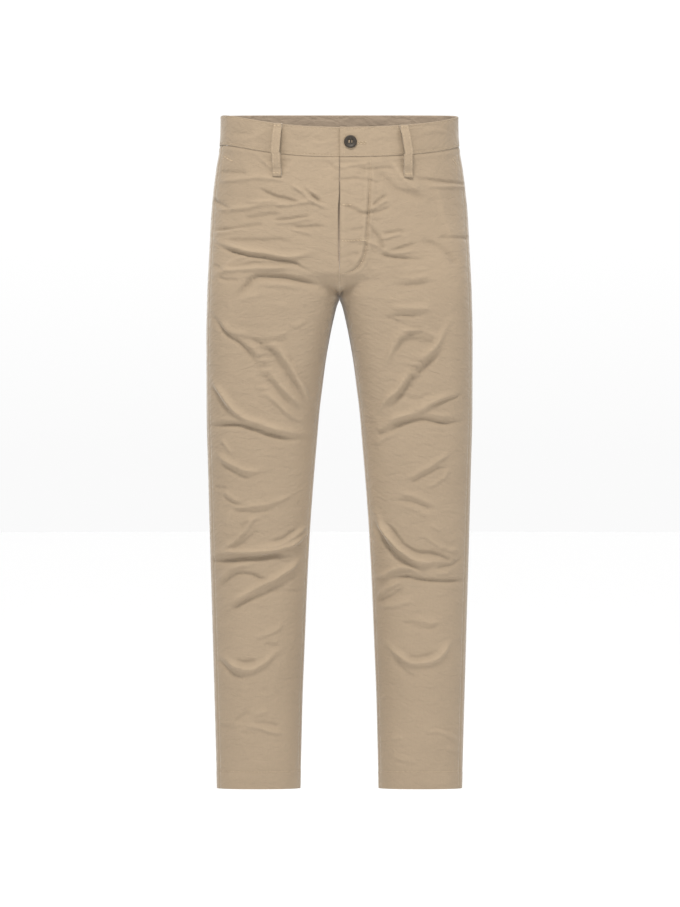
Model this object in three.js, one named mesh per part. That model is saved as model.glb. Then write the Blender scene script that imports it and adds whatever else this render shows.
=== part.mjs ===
// Chino trousers kept in their worn shape. Millimetres, +Z up, front faces -Y, +X is the wearer's left.
// The origin is the centre of the waist opening, level with the waistband's top edge at the two sides.
import * as THREE from 'three';

const CLOTH_WALL = 1.4;
const HALF_SEAM = 0.15;
const PIECE_GAP = 0.3;
const BAND_HEIGHT = 46;
const BAND_THICK = 2.4;
const BAND_PROUD = 0.8;
const CROTCH_DROP = 282;
const HEM_DROP = 1040;
const HEM_TURN = 28;
const HEM_WALL = 2.6;
const HEM_FRONT_LIFT = 4;
const HEM_LIFT_FROM = 880;
const HEM_FOLD_STEP = 0.4;
const WAIST_FRONT_DIP = 26.3;
const WAIST_BACK_RISE = 14.2;
const WAIST_BACK_POWER = 0.7;
const WAIST_DIP_POWER = { right: 2.4, left: 1.3 };
const CROTCH_REACH = { front: 0.17, seat: 0.55 };
const TORSO_POWER = 2.35;
const FLY_EDGE_X = 1.0;
const FLY_END_DROP = 247;
const BUTTON = {
  x: 16.6, drop: 49.4, diameter: 19.5, thick: 3.0, hole: 2.0, holePitch: 4.2, roundOut: 0.7, roundDeep: 0.6, clear: 0.4,
};
const LOOP = { width: 13.5, length: 81, softEdge: 0.3 };
const FLY_GAPE = { width: 2.6, from: 72, full: 112, until: 200 };
const UNDERLAP_X = 38;
const UNDERLAP = { clear: 0.8, thick: 1.6 };
const STRIP_COLUMNS_X = [-14, -6, 0, 10, 20, 30, UNDERLAP_X];
const STRIP_ROWS = 10;
const SOFT_EDGE = 0.35;
const BAND_EDGE_ROUND = 1.2;
const SINK_FROM_X = 24;
const SINK_TO_X = 1.5;
const SINK_COLUMNS_X = [17, 10, 5, SINK_TO_X];
const UNDER_COLUMNS_X = [8, 18, 28, UNDERLAP_X];
const LOOP_ACROSS = [-1, -0.8, 0, 0.8, 1];
const FRONT_COLUMNS = 15;
const BACK_COLUMNS = 12;
const TORSO_FROM = 0.7;
const FLY_END_FADE = 14;
const HIP_ROWS_END = 211;
const HEM_STITCH_RISE = 13;

// Place the folds are read from: an elevation plane 85 mm in front, seen from 4.5 m at mid height.
const EYE = { distance: 4500, plane: -85, drop: 521.6 };

// Body sections. drop: below the side waist edge. outer: half width at the side. front, back, mid: y.
// round: power of a leg's ring, where 2 is an ellipse and more is squarer.
const SECTIONS = [
  { drop: -30, outer: 183.7, front: -99, back: 98, mid: 0, round: 3.0 },
  { drop: 0, outer: 183.7, front: -100, back: 100, mid: 0, round: 3.0 },
  { drop: 28, outer: 183.9, front: -102, back: 104, mid: 1, round: 3.0 },
  { drop: 46, outer: 185.2, front: -103, back: 106, mid: 1, round: 3.0 },
  { drop: 84, outer: 191.4, front: -107, back: 114, mid: 2, round: 3.0 },
  { drop: 121, outer: 196.0, front: -112, back: 122, mid: 3, round: 3.0 },
  { drop: 158, outer: 199.2, front: -115, back: 128, mid: 5, round: 3.0 },
  { drop: 200, outer: 200.8, front: -117, back: 132, mid: 6, round: 3.9 },
  { drop: 282, outer: 204.0, front: -114, back: 124, mid: 4, round: 3.9 },
  { drop: 350, outer: 205.4, front: -106, back: 108, mid: 1, round: 3.6 },
  { drop: 450, outer: 205.4, front: -95, back: 88, mid: -3, round: 3.0 },
  { drop: 560, outer: 202.8, front: -84, back: 66, mid: -8, round: 2.6 },
  { drop: 680, outer: 200.0, front: -70, back: 66, mid: -2, round: 2.4 },
  { drop: 800, outer: 196.7, front: -62, back: 66, mid: 2, round: 2.2 },
  { drop: 920, outer: 193.3, front: -57, back: 60, mid: 2, round: 2.15 },
  { drop: 1050, outer: 189.7, front: -54, back: 54, mid: 0, round: 2.15 },
];

// Inseam line. drop: below the side waist edge. inner: distance from the centre plane.
const INSEAM = [
  { drop: 282, inner: 0 },
  { drop: 290, inner: 3.4 },
  { drop: 307, inner: 7.8 },
  { drop: 344, inner: 15.5 },
  { drop: 381, inner: 21.7 },
  { drop: 418, inner: 26.4 },
  { drop: 456, inner: 31.0 },
  { drop: 493, inner: 34.1 },
  { drop: 567, inner: 40.3 },
  { drop: 642, inner: 45.7 },
  { drop: 716, inner: 49.6 },
  { drop: 828, inner: 54.3 },
  { drop: 902, inner: 57.2 },
  { drop: 976, inner: 59.0 },
  { drop: 1050, inner: 60.8 },
];

// Where the seams run round a ring: 0 is the side, 1 the centre front or the inner side of the leg.
const SEAMS = [
  { drop: 40, side: 0.16, inseam: 1 },
  { drop: 282, side: 0.155, inseam: 1 },
  { drop: 330, side: 0.148, inseam: 0.97 },
  { drop: 450, side: 0.144, inseam: 0.915 },
  { drop: 1050, side: 0.144, inseam: 0.905 },
];

// Largest folds on the front, on the elevation plane. Height and spread in mm; points are [x, drop].
const FRONT_FOLDS = [
  { height: 3.4, spread: 8, points: [[-186, 200], [-156, 210], [-124, 216], [-89, 222], [-58, 221], [-36, 213]] },
  { height: 2.8, spread: 8, points: [[-189, 250], [-156, 243], [-124, 240], [-89, 238], [-60, 239]] },
  { height: -3.0, spread: 9, points: [[-156, 280], [-138, 258], [-105, 252], [-70, 257], [-30, 267]] },
  { height: -3.0, spread: 9, points: [[-191, 315], [-170, 342], [-150, 355], [-128, 382], [-100, 412]] },
  { height: 4.2, spread: 9, points: [[-126, 338], [-103, 354], [-80, 382], [-60, 415], [-43, 446]] },
  { height: 3.6, spread: 9, points: [[-148, 350], [-122, 371], [-98, 407], [-70, 438], [-48, 462]] },
  { height: -3.2, spread: 8, points: [[-140, 349], [-109, 360], [-85, 392], [-63, 427], [-46, 452]] },
  { height: 3.4, spread: 9, points: [[-131, 404], [-113, 427], [-87, 452], [-58, 474]] },
  { height: 5.0, spread: 10, points: [[-192, 410], [-176, 435], [-154, 461], [-125, 474], [-90, 485], [-50, 491]] },
  { height: -4.0, spread: 9, points: [[-196, 478], [-152, 477], [-113, 491], [-55, 499]] },
  { height: 3.0, spread: 9, points: [[-185, 524], [-160, 540], [-140, 548], [-117, 548]] },
  { height: 3.4, spread: 9, points: [[-177, 667], [-152, 647], [-138, 630], [-117, 617]] },
  { height: 5.0, spread: 10, points: [[-190, 674], [-146, 670], [-98, 667], [-72, 656], [-51, 638]] },
  { height: -4.6, spread: 9, points: [[-194, 685], [-150, 683], [-104, 679], [-66, 679]] },
  { height: 4.4, spread: 10, points: [[-176, 752], [-138, 733], [-102, 714], [-73, 694], [-55, 679]] },
  { height: -3.0, spread: 9, points: [[-184, 728], [-165, 708], [-140, 703], [-119, 711]] },
  { height: 4.6, spread: 10, points: [[-178, 828], [-159, 844], [-138, 849], [-114, 839], [-88, 820]] },
  { height: 2.2, spread: 9, points: [[-141, 939], [-110, 943], [-84, 948]] },
  { height: -2.2, spread: 9, points: [[92, 264], [114, 264], [137, 260]] },
  { height: 3.0, spread: 9, points: [[72, 288], [88, 300], [117, 301], [140, 303]] },
  { height: -3.0, spread: 8, points: [[70, 312], [95, 312], [122, 311]] },
  { height: 4.2, spread: 10, points: [[122, 320], [104, 334], [86, 350], [78, 370], [68, 388]] },
  { height: 5.0, spread: 9, points: [[168, 322], [151, 351], [130, 380], [103, 412], [76, 442], [52, 464]] },
  { height: -3.8, spread: 9, points: [[160, 358], [133, 385], [106, 414], [84, 442], [70, 458]] },
  { height: 4.6, spread: 10, points: [[58, 480], [84, 467], [117, 454], [140, 440], [176, 431]] },
  { height: -4.0, spread: 9, points: [[60, 492], [98, 475], [126, 469], [160, 474], [184, 472]] },
  { height: 2.6, spread: 8, points: [[100, 560], [130, 545], [166, 523]] },
  { height: 5.6, spread: 11, points: [[57, 617], [69, 642], [88, 664], [114, 681], [140, 688], [166, 684]] },
  { height: -4.6, spread: 9, points: [[58, 640], [77, 670], [106, 690], [126, 705]] },
  { height: 4.4, spread: 9, points: [[54, 710], [75, 701], [96, 696], [125, 704]] },
  { height: -4.0, spread: 8, points: [[80, 713], [117, 716], [150, 716], [190, 713]] },
  { height: 3.0, spread: 9, points: [[60, 738], [80, 725], [92, 716]] },
  { height: 4.2, spread: 10, points: [[72, 810], [90, 829], [110, 840], [137, 839], [157, 830], [171, 808]] },
  { height: 2.2, spread: 9, points: [[132, 945], [157, 946], [177, 957]] },
];

// Quieter folds on the hidden back, in the same plane seen from behind. Points are [x, drop].
const BACK_FOLDS = [
  { height: 3.4, spread: 11, points: [[-150, 330], [-100, 318], [-50, 296], [-22, 280]] },
  { height: 3.4, spread: 11, points: [[150, 338], [104, 322], [56, 300], [24, 282]] },
  { height: -2.8, spread: 11, points: [[-140, 356], [-96, 342], [-52, 320]] },
  { height: -2.8, spread: 11, points: [[142, 362], [98, 346], [54, 324]] },
  { height: 3.0, spread: 11, points: [[-180, 246], [-130, 238], [-84, 244]] },
  { height: 3.0, spread: 11, points: [[176, 252], [132, 244], [88, 250]] },
  { height: 3.8, spread: 11, points: [[-182, 472], [-130, 488], [-70, 478]] },
  { height: 3.8, spread: 11, points: [[182, 462], [132, 480], [72, 474]] },
  { height: 4.2, spread: 11, points: [[-180, 560], [-130, 580], [-72, 566]] },
  { height: 4.2, spread: 11, points: [[180, 570], [134, 588], [74, 570]] },
  { height: -3.4, spread: 11, points: [[-170, 592], [-126, 604], [-80, 594]] },
  { height: -3.4, spread: 11, points: [[172, 600], [130, 610], [82, 600]] },
  { height: 4.0, spread: 11, points: [[-176, 640], [-120, 652], [-66, 634]] },
  { height: 4.0, spread: 11, points: [[176, 650], [124, 662], [70, 644]] },
  { height: 3.4, spread: 11, points: [[-170, 742], [-128, 722], [-80, 706]] },
  { height: 3.4, spread: 11, points: [[168, 750], [130, 730], [84, 712]] },
  { height: 3.2, spread: 11, points: [[-170, 846], [-124, 858], [-80, 842]] },
  { height: 3.2, spread: 11, points: [[170, 838], [126, 852], [82, 838]] },
];

function clamp(value, low, high) {
  return Math.min(high, Math.max(low, value));
}

function smoothStep(low, high, value) {
  const t = clamp((value - low) / (high - low), 0, 1);
  return t * t * (3 - 2 * t);
}

// Smooth curve through one named column of a table, without overshoot.
function columnCurve(rows, column) {
  const x = rows.map((row) => row.drop);
  const y = rows.map((row) => row[column]);
  const last = x.length - 1;
  const slope = [];
  for (let i = 0; i < last; i += 1) {
    slope.push((y[i + 1] - y[i]) / (x[i + 1] - x[i]));
  }
  const tangent = [slope[0]];
  for (let i = 1; i < last; i += 1) {
    const product = slope[i - 1] * slope[i];
    tangent.push(product > 0 ? (2 * product) / (slope[i - 1] + slope[i]) : 0);
  }
  tangent.push(slope[last - 1]);
  return (at) => {
    const value = clamp(at, x[0], x[last]);
    let i = 0;
    while (i < last - 1 && value > x[i + 1]) {
      i += 1;
    }
    const step = x[i + 1] - x[i];
    const t = (value - x[i]) / step;
    const a = (1 + 2 * t) * (1 - t) * (1 - t);
    const b = t * (1 - t) * (1 - t);
    const c = t * t * (3 - 2 * t);
    const d = t * t * (t - 1);
    return a * y[i] + b * step * tangent[i] + c * y[i + 1] + d * step * tangent[i + 1];
  };
}

const outerAt = columnCurve(SECTIONS, 'outer');
const frontAt = columnCurve(SECTIONS, 'front');
const backAt = columnCurve(SECTIONS, 'back');
const midAt = columnCurve(SECTIONS, 'mid');
const legPowerAt = columnCurve(SECTIONS, 'round');
const innerAt = columnCurve(INSEAM, 'inner');
const sideSeamAt = columnCurve(SEAMS, 'side');
const inseamAt = columnCurve(SEAMS, 'inseam');

// The waistband's top edge dips in front and rises behind.
function waistEdge(side, turn) {
  const across = Math.sin((Math.PI / 2) * Math.min(1, Math.abs(turn)));
  if (turn < 0) {
    return -WAIST_BACK_RISE * across ** WAIST_BACK_POWER;
  }
  const power = side < 0 ? WAIST_DIP_POWER.right : WAIST_DIP_POWER.left;
  return WAIST_FRONT_DIP * across ** power;
}

// Share of the way from a leg's ring to the torso's ring, by height above the crotch.
function torsoShare(above) {
  return smoothStep(0, TORSO_FROM, above);
}

// Depth of the centre seam as a share of the full depth: a quarter ellipse up from the crotch.
function centreDepth(above, front) {
  const reach = front ? CROTCH_REACH.front : CROTCH_REACH.seat;
  return above >= reach ? 1 : Math.sqrt(1 - (1 - above / reach) ** 2);
}

function heightAbove(sideDrop) {
  return clamp((CROTCH_DROP - sideDrop) / (CROTCH_DROP - BAND_HEIGHT), 0, 1.1);
}

function trueDrop(side, sideDrop, turn) {
  if (sideDrop < CROTCH_DROP) {
    const above = (CROTCH_DROP - sideDrop) / (CROTCH_DROP - BAND_HEIGHT);
    return CROTCH_DROP - (CROTCH_DROP - BAND_HEIGHT - waistEdge(side, turn)) * above;
  }
  const low = clamp((sideDrop - HEM_LIFT_FROM) / (HEM_DROP - HEM_LIFT_FROM), 0, 1.1);
  return sideDrop - HEM_FRONT_LIFT * low * low * Math.max(0, Math.sin(Math.PI * turn));
}

function roundSide(value, power) {
  return Math.sign(value) * Math.abs(value) ** (2 / power);
}

function roundDepth(across, power) {
  return Math.max(0, 1 - Math.min(1, Math.abs(across)) ** power) ** (1 / power);
}

function softMax(a, b, width) {
  const near = Math.max(width - Math.abs(a - b), 0);
  return Math.max(a, b) + (width > 0 ? (near * near) / (4 * width) : 0);
}

// A point of the plain body: side is 1 for the wearer's left, turn runs round the ring.
function bodyPoint(side, sideDrop, turn) {
  const drop = trueDrop(side, sideDrop, turn);
  const outer = outerAt(drop);
  const inner = sideDrop < CROTCH_DROP ? 0 : innerAt(drop);
  const mid = midAt(drop);
  const power = legPowerAt(drop);
  const angle = Math.PI * turn;
  const front = sideDrop < CROTCH_DROP ? turn >= 0 : Math.sin(angle) >= 0;
  const depth = front ? mid - frontAt(drop) : mid - backAt(drop);
  const centre = (outer + inner) / 2;
  const half = (outer - inner) / 2;
  let x = centre + half * roundSide(Math.cos(angle), power);
  let share = roundDepth((x - centre) / half, power);
  if (sideDrop < CROTCH_DROP) {
    const above = heightAbove(sideDrop);
    const torso = torsoShare(above);
    const quarter = (Math.PI / 2) * Math.min(1, Math.abs(turn));
    x += (outer * roundSide(Math.cos(quarter), TORSO_POWER) - x) * torso;
    const leg = roundDepth((x - centre) / half, power);
    const trunk = roundDepth(x / outer, TORSO_POWER);
    const bridge = trunk * centreDepth(above, front);
    const soft = 0.1 * (1 - torso) * smoothStep(0, 0.1, above);
    share = softMax(leg + (trunk - leg) * torso, bridge, soft);
  }
  return new THREE.Vector3(side * Math.max(0, x), mid - depth * share, -drop);
}

function bodyNormal(side, sideDrop, turn) {
  const round = bodyPoint(side, sideDrop, turn + 0.002).sub(bodyPoint(side, sideDrop, turn - 0.002));
  const down = bodyPoint(side, sideDrop + 0.6, turn).sub(bodyPoint(side, sideDrop - 0.6, turn));
  const normal = round.cross(down).normalize();
  return side > 0 ? normal : normal.negate();
}

function finePath(points) {
  const path = [];
  for (let i = 0; i < points.length - 1; i += 1) {
    const p0 = points[Math.max(0, i - 1)];
    const p1 = points[i];
    const p2 = points[i + 1];
    const p3 = points[Math.min(points.length - 1, i + 2)];
    for (let k = 0; k < 6; k += 1) {
      const t = k / 6;
      path.push([0, 1].map((axis) => 0.5 * (2 * p1[axis] + (p2[axis] - p0[axis]) * t
        + (2 * p0[axis] - 5 * p1[axis] + 4 * p2[axis] - p3[axis]) * t * t
        + (3 * p1[axis] - p0[axis] - 3 * p2[axis] + p3[axis]) * t * t * t)));
    }
  }
  path.push(points[points.length - 1]);
  return path;
}

function withPaths(folds) {
  return folds.map((fold) => ({ ...fold, path: finePath(fold.points) }));
}

const FRONT_PATHS = withPaths(FRONT_FOLDS);
const BACK_PATHS = withPaths(BACK_FOLDS);

// One fold is a soft ridge or trough along its path, fading out at both ends.
function foldHeight(fold, x, drop) {
  let best = Infinity;
  let along = 0;
  const count = fold.path.length - 1;
  for (let i = 0; i < count; i += 1) {
    const [ax, ay] = fold.path[i];
    const [bx, by] = fold.path[i + 1];
    const length = (bx - ax) ** 2 + (by - ay) ** 2;
    const t = clamp(((x - ax) * (bx - ax) + (drop - ay) * (by - ay)) / length, 0, 1);
    const gap = (x - ax - t * (bx - ax)) ** 2 + (drop - ay - t * (by - ay)) ** 2;
    if (gap < best) {
      best = gap;
      along = (i + t) / count;
    }
  }
  const ends = smoothStep(0, 0.25, along) * smoothStep(0, 0.25, 1 - along);
  return fold.height * (0.25 + 0.75 * ends) * Math.exp(-best / (fold.spread * fold.spread));
}

function foldsAt(point, sideDrop, turn) {
  const front = turn >= 0 || turn < -1;
  const scale = (EYE.distance + EYE.plane) / (EYE.distance + (front ? point.y : -point.y));
  const x = point.x * scale;
  const drop = EYE.drop + (-point.z - EYE.drop) * scale;
  let height = 0;
  for (const fold of front ? FRONT_PATHS : BACK_PATHS) {
    height += foldHeight(fold, x, drop);
  }
  const nearSide = smoothStep(0.03, 0.17, Math.abs(turn));
  const nearInner = Math.max(
    smoothStep(0.02, 0.16, Math.abs(1 - Math.abs(turn))), smoothStep(0.1, 0.35, heightAbove(sideDrop)));
  const nearTop = smoothStep(48, 70, sideDrop);
  const nearHem = 1 - smoothStep(985, 1010, sideDrop);
  return height * nearSide * nearInner * nearTop * nearHem;
}

// A closed sheet from two matching grids of points, outer face and inner face.
function sheetGeometry(outerGrid, innerGrid, flip) {
  const rows = outerGrid.length;
  const cols = outerGrid[0].length;
  const positions = [];
  for (const grid of [outerGrid, innerGrid]) {
    for (const row of grid) {
      for (const point of row) {
        positions.push(point.x, point.y, point.z);
      }
    }
  }
  const index = [];
  const base = rows * cols;
  const outer = (r, c) => r * cols + c;
  const inner = (r, c) => base + r * cols + c;
  const quad = (a, b, c, d) => {
    if (flip) {
      index.push(a, c, b, a, d, c);
    } else {
      index.push(a, b, c, a, c, d);
    }
  };
  for (let r = 0; r < rows - 1; r += 1) {
    for (let c = 0; c < cols - 1; c += 1) {
      quad(outer(r, c), outer(r, c + 1), outer(r + 1, c + 1), outer(r + 1, c));
      quad(inner(r, c), inner(r + 1, c), inner(r + 1, c + 1), inner(r, c + 1));
    }
    quad(outer(r, 0), outer(r + 1, 0), inner(r + 1, 0), inner(r, 0));
    quad(outer(r, cols - 1), inner(r, cols - 1), inner(r + 1, cols - 1), outer(r + 1, cols - 1));
  }
  for (let c = 0; c < cols - 1; c += 1) {
    quad(outer(0, c), inner(0, c), inner(0, c + 1), outer(0, c + 1));
    quad(outer(rows - 1, c), outer(rows - 1, c + 1), inner(rows - 1, c + 1), inner(rows - 1, c));
  }
  const geometry = new THREE.BufferGeometry();
  geometry.setAttribute('position', new THREE.Float32BufferAttribute(positions, 3));
  geometry.setIndex(index);
  return geometry;
}

// Keeps a point on its own side of the centre plane.
function keepOwnSide(point, side, least) {
  point.x = side * Math.max(side * point.x, least);
  return point;
}

// The two fronts stop at the fly: the wearer's left one laps over, the right one hangs a little open.
function centreEdge(side, sideDrop, turn) {
  if (turn < 0 || sideDrop > CROTCH_DROP) {
    return HALF_SEAM;
  }
  const drop = trueDrop(side, sideDrop, 1);
  if (side > 0) {
    return HALF_SEAM + (FLY_EDGE_X - HALF_SEAM) * (1 - smoothStep(FLY_END_DROP - FLY_END_FADE, FLY_END_DROP, drop));
  }
  const open = smoothStep(FLY_GAPE.from, FLY_GAPE.full, drop) * (1 - smoothStep(FLY_GAPE.until, FLY_END_DROP, drop));
  return HALF_SEAM + FLY_GAPE.width * open;
}

function clothPanel(side, rowDrops, columns, span) {
  const outerGrid = [];
  const innerGrid = [];
  for (const sideDrop of rowDrops) {
    const [start, end] = span(sideDrop);
    const outerRow = [];
    const innerRow = [];
    const wall = sideDrop > HEM_DROP - HEM_TURN ? HEM_WALL : CLOTH_WALL;
    for (let c = 0; c < columns; c += 1) {
      let turn = start + ((end - start) * c) / (columns - 1);
      if (c === 0 || c === columns - 1) {
        const pace = bodyPoint(side, sideDrop, turn + 0.001).distanceTo(
          bodyPoint(side, sideDrop, turn - 0.001)) / 0.002;
        const atRise = sideDrop < CROTCH_DROP && Math.abs(Math.abs(turn) - 1) < 1e-6;
        if (!atRise) {
          turn += ((c === 0 ? 1 : -1) * Math.sign(end - start) * HALF_SEAM) / pace;
        }
      }
      const point = bodyPoint(side, sideDrop, turn);
      const normal = bodyNormal(side, sideDrop, turn);
      const least = centreEdge(side, sideDrop, turn);
      const height = foldsAt(point, sideDrop, turn);
      const outer = point.clone().addScaledVector(normal, height);
      const inner = point.clone().addScaledVector(normal, height - wall);
      outerRow.push(keepOwnSide(outer, side, least));
      innerRow.push(keepOwnSide(inner, side, least));
    }
    outerGrid.push(outerRow);
    innerGrid.push(innerRow);
  }
  const [first, last] = span(CROTCH_DROP);
  const flip = (side > 0) !== (last > first);
  return sheetGeometry(outerGrid, innerGrid, flip);
}

function evenly(from, to, steps) {
  return Array.from({ length: steps }, (_, i) => from + ((to - from) * i) / steps);
}

const ROW_DROPS = [
  ...evenly(BAND_HEIGHT + PIECE_GAP, HIP_ROWS_END, STRIP_ROWS),
  ...[0.3, 0.24, 0.18, 0.125, 0.08, 0.045, 0.02, 0.006].map(
    (above) => CROTCH_DROP - (CROTCH_DROP - BAND_HEIGHT) * above),
  ...evenly(CROTCH_DROP, 420, 7),
  ...evenly(420, 500, 7),
  ...evenly(500, 640, 7),
  ...evenly(640, 760, 10),
  ...evenly(760, HEM_DROP - HEM_TURN - HEM_FOLD_STEP, 11),
  HEM_DROP - HEM_TURN - HEM_FOLD_STEP,
  HEM_DROP - HEM_TURN + HEM_FOLD_STEP,
  HEM_DROP - HEM_STITCH_RISE,
  HEM_DROP,
];

function turnAtX(side, sideDrop, across, front) {
  let near = 0;
  let far = front ? 1 : -1;
  for (let i = 0; i < 40; i += 1) {
    const middle = (near + far) / 2;
    if (Math.abs(bodyPoint(side, sideDrop, middle).x) > across) {
      near = middle;
    } else {
      far = middle;
    }
  }
  return (near + far) / 2;
}

// A point on the waistband's ring, down from its top edge by depth.
function bandPoint(side, turn, depth) {
  const drop = waistEdge(side, turn) + depth;
  const outer = outerAt(drop);
  const mid = midAt(drop);
  const reach = turn >= 0 ? mid - frontAt(drop) : mid - backAt(drop);
  const x = outer * roundSide(Math.cos((Math.PI / 2) * turn), TORSO_POWER);
  return new THREE.Vector3(side * x, mid - reach * roundDepth(x / outer, TORSO_POWER), -drop);
}

function bandNormal(side, turn, depth) {
  const low = Math.max(-1, turn - 0.004);
  const high = Math.min(1, turn + 0.004);
  const round = bandPoint(side, high, depth).sub(bandPoint(side, low, depth));
  const down = bandPoint(side, turn, depth + 1).sub(bandPoint(side, turn, depth - 1));
  const normal = round.cross(down).normalize();
  return side > 0 ? normal : normal.negate();
}

function bandTurnAtX(side, across, front) {
  let near = 0;
  let far = front ? 1 : -1;
  for (let i = 0; i < 40; i += 1) {
    const middle = (near + far) / 2;
    if (Math.abs(bandPoint(side, middle, BAND_HEIGHT / 2).x) > across) {
      near = middle;
    } else {
      far = middle;
    }
  }
  return (near + far) / 2;
}

// Stations run along the band; each gives its side, its turn and how far the outer face stands out.
function bandGeometry(stations, flip) {
  const outerGrid = [];
  const innerGrid = [];
  const profile = [0, BAND_EDGE_ROUND, BAND_HEIGHT / 2, BAND_HEIGHT - BAND_EDGE_ROUND, BAND_HEIGHT];
  for (const depth of profile) {
    const edge = depth === 0 || depth === BAND_HEIGHT ? SOFT_EDGE : 0;
    const outerRow = [];
    const innerRow = [];
    for (const station of stations) {
      const point = bandPoint(station.side, station.turn, depth);
      const normal = bandNormal(station.side, station.turn, depth);
      const outer = point.clone().addScaledVector(normal, station.proud - edge);
      const inner = point.clone().addScaledVector(normal, station.proud - BAND_THICK + edge);
      outerRow.push(keepOwnSide(outer, station.side, station.least));
      innerRow.push(keepOwnSide(inner, station.side, station.least));
    }
    outerGrid.push(outerRow);
    innerGrid.push(innerRow);
  }
  return sheetGeometry(outerGrid, innerGrid, flip);
}

// The band takes the panels' own columns at the waist seam, so that both bend at the same places.
function waistTurns(columns, end) {
  const side = sideSeamAt(BAND_HEIGHT + PIECE_GAP);
  return Array.from({ length: columns }, (_, c) => side + ((end - side) * c) / (columns - 1));
}

function leftBandStations() {
  const front = waistTurns(FRONT_COLUMNS, 1).reverse();
  const back = waistTurns(BACK_COLUMNS, -1).slice(1);
  front[0] = bandTurnAtX(1, FLY_EDGE_X, true);
  const stations = [...front, ...back].map((turn) => ({ side: 1, turn, proud: BAND_PROUD, least: 0 }));
  stations[0].least = FLY_EDGE_X;
  stations[stations.length - 1].least = HALF_SEAM;
  return stations;
}

function rightBandStations() {
  const sunk = BAND_PROUD - BAND_THICK - PIECE_GAP;
  const sinkTurn = bandTurnAtX(-1, SINK_FROM_X, true);
  const back = waistTurns(BACK_COLUMNS, -1).reverse();
  const front = waistTurns(FRONT_COLUMNS, 1).slice(1).filter((turn) => turn <= sinkTurn);
  const stations = [...back, ...front].map((turn) => ({ side: -1, turn, proud: BAND_PROUD, least: 0 }));
  stations[0].least = HALF_SEAM;
  for (const x of SINK_COLUMNS_X) {
    const share = 1 - smoothStep(SINK_TO_X, SINK_FROM_X, x);
    const turn = bandTurnAtX(-1, x, true);
    stations.push({ side: -1, turn, proud: BAND_PROUD + (sunk - BAND_PROUD) * share, least: 0 });
  }
  for (const x of UNDER_COLUMNS_X) {
    stations.push({ side: 1, turn: bandTurnAtX(1, x, true), proud: sunk, least: 0 });
  }
  return stations;
}

// The strip behind the fly hangs from the right front and reaches behind the left one.
function underlapGeometry() {
  const outerGrid = [];
  const innerGrid = [];
  for (const sideDrop of ROW_DROPS.slice(0, STRIP_ROWS)) {
    const outerRow = [];
    const innerRow = [];
    for (const x of STRIP_COLUMNS_X) {
      const side = x < 0 ? -1 : 1;
      const turn = Math.abs(x) < 0.5 ? 1 : turnAtX(side, sideDrop, Math.abs(x), true);
      const point = bodyPoint(side, sideDrop, turn);
      const normal = bodyNormal(side, sideDrop, Math.min(turn, 0.997));
      const height = foldsAt(point, sideDrop, turn);
      outerRow.push(point.clone().addScaledVector(normal, height - CLOTH_WALL - UNDERLAP.clear));
      innerRow.push(point.clone().addScaledVector(normal, height - CLOTH_WALL - UNDERLAP.clear - UNDERLAP.thick));
    }
    outerGrid.push(outerRow);
    innerGrid.push(innerRow);
  }
  return sheetGeometry(outerGrid, innerGrid, true);
}

// Belt loop: depth below the band's top edge, and the strap's clearance from the cloth behind it.
const LOOP_PROFILE = [
  { depth: 0.4, clear: 1.2, thick: 3.2 },
  { depth: 3, clear: 1.2, thick: 3.4 },
  { depth: 7, clear: 1.8, thick: 3.2 },
  { depth: 11, clear: 5.2, thick: 1.8 },
  { depth: 17, clear: 7.8, thick: 1.8 },
  { depth: 26, clear: 8.8, thick: 1.8 },
  { depth: 42, clear: 8.8, thick: 1.8 },
  { depth: 54, clear: 8.2, thick: 1.8 },
  { depth: 64.5, clear: 6.2, thick: 1.8 },
  { depth: 72, clear: 1.8, thick: 3.2 },
  { depth: 76.5, clear: 0.9, thick: 3.6 },
  { depth: 81, clear: 0.6, thick: 3.4 },
];

function clothBehind(side, across, depth, front) {
  const bandTurn = across === 0 ? -1 : bandTurnAtX(side, across, front);
  if (depth <= BAND_HEIGHT) {
    return { point: bandPoint(side, bandTurn, depth), normal: bandNormal(side, bandTurn, depth) };
  }
  const pace = (CROTCH_DROP - BAND_HEIGHT) / (CROTCH_DROP - BAND_HEIGHT - waistEdge(side, bandTurn));
  const sideDrop = BAND_HEIGHT + (depth - BAND_HEIGHT) * pace;
  const turn = across === 0 ? -1 : turnAtX(side, sideDrop, across, front);
  return { point: bodyPoint(side, sideDrop, turn), normal: bodyNormal(side, sideDrop, turn) };
}

function loopGeometry(side, topX, bottomX, front) {
  const outerGrid = [];
  const innerGrid = [];
  for (const station of LOOP_PROFILE) {
    const x = topX + (bottomX - topX) * (station.depth / LOOP.length);
    const { point, normal } = clothBehind(side, x, station.depth, front);
    const flat = new THREE.Vector3(normal.x, normal.y, 0).normalize();
    const across = new THREE.Vector3(0, 0, 1).cross(flat).normalize();
    const outerRow = [];
    const innerRow = [];
    for (const step of LOOP_ACROSS) {
      const edge = Math.abs(step) === 1 ? LOOP.softEdge : 0;
      const base = point.clone().addScaledVector(across, (step * LOOP.width) / 2);
      outerRow.push(base.clone().addScaledVector(flat, station.clear + station.thick - edge));
      innerRow.push(base.clone().addScaledVector(flat, station.clear + edge));
    }
    outerGrid.push(outerRow);
    innerGrid.push(innerRow);
  }
  return sheetGeometry(outerGrid, innerGrid, true);
}

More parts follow.
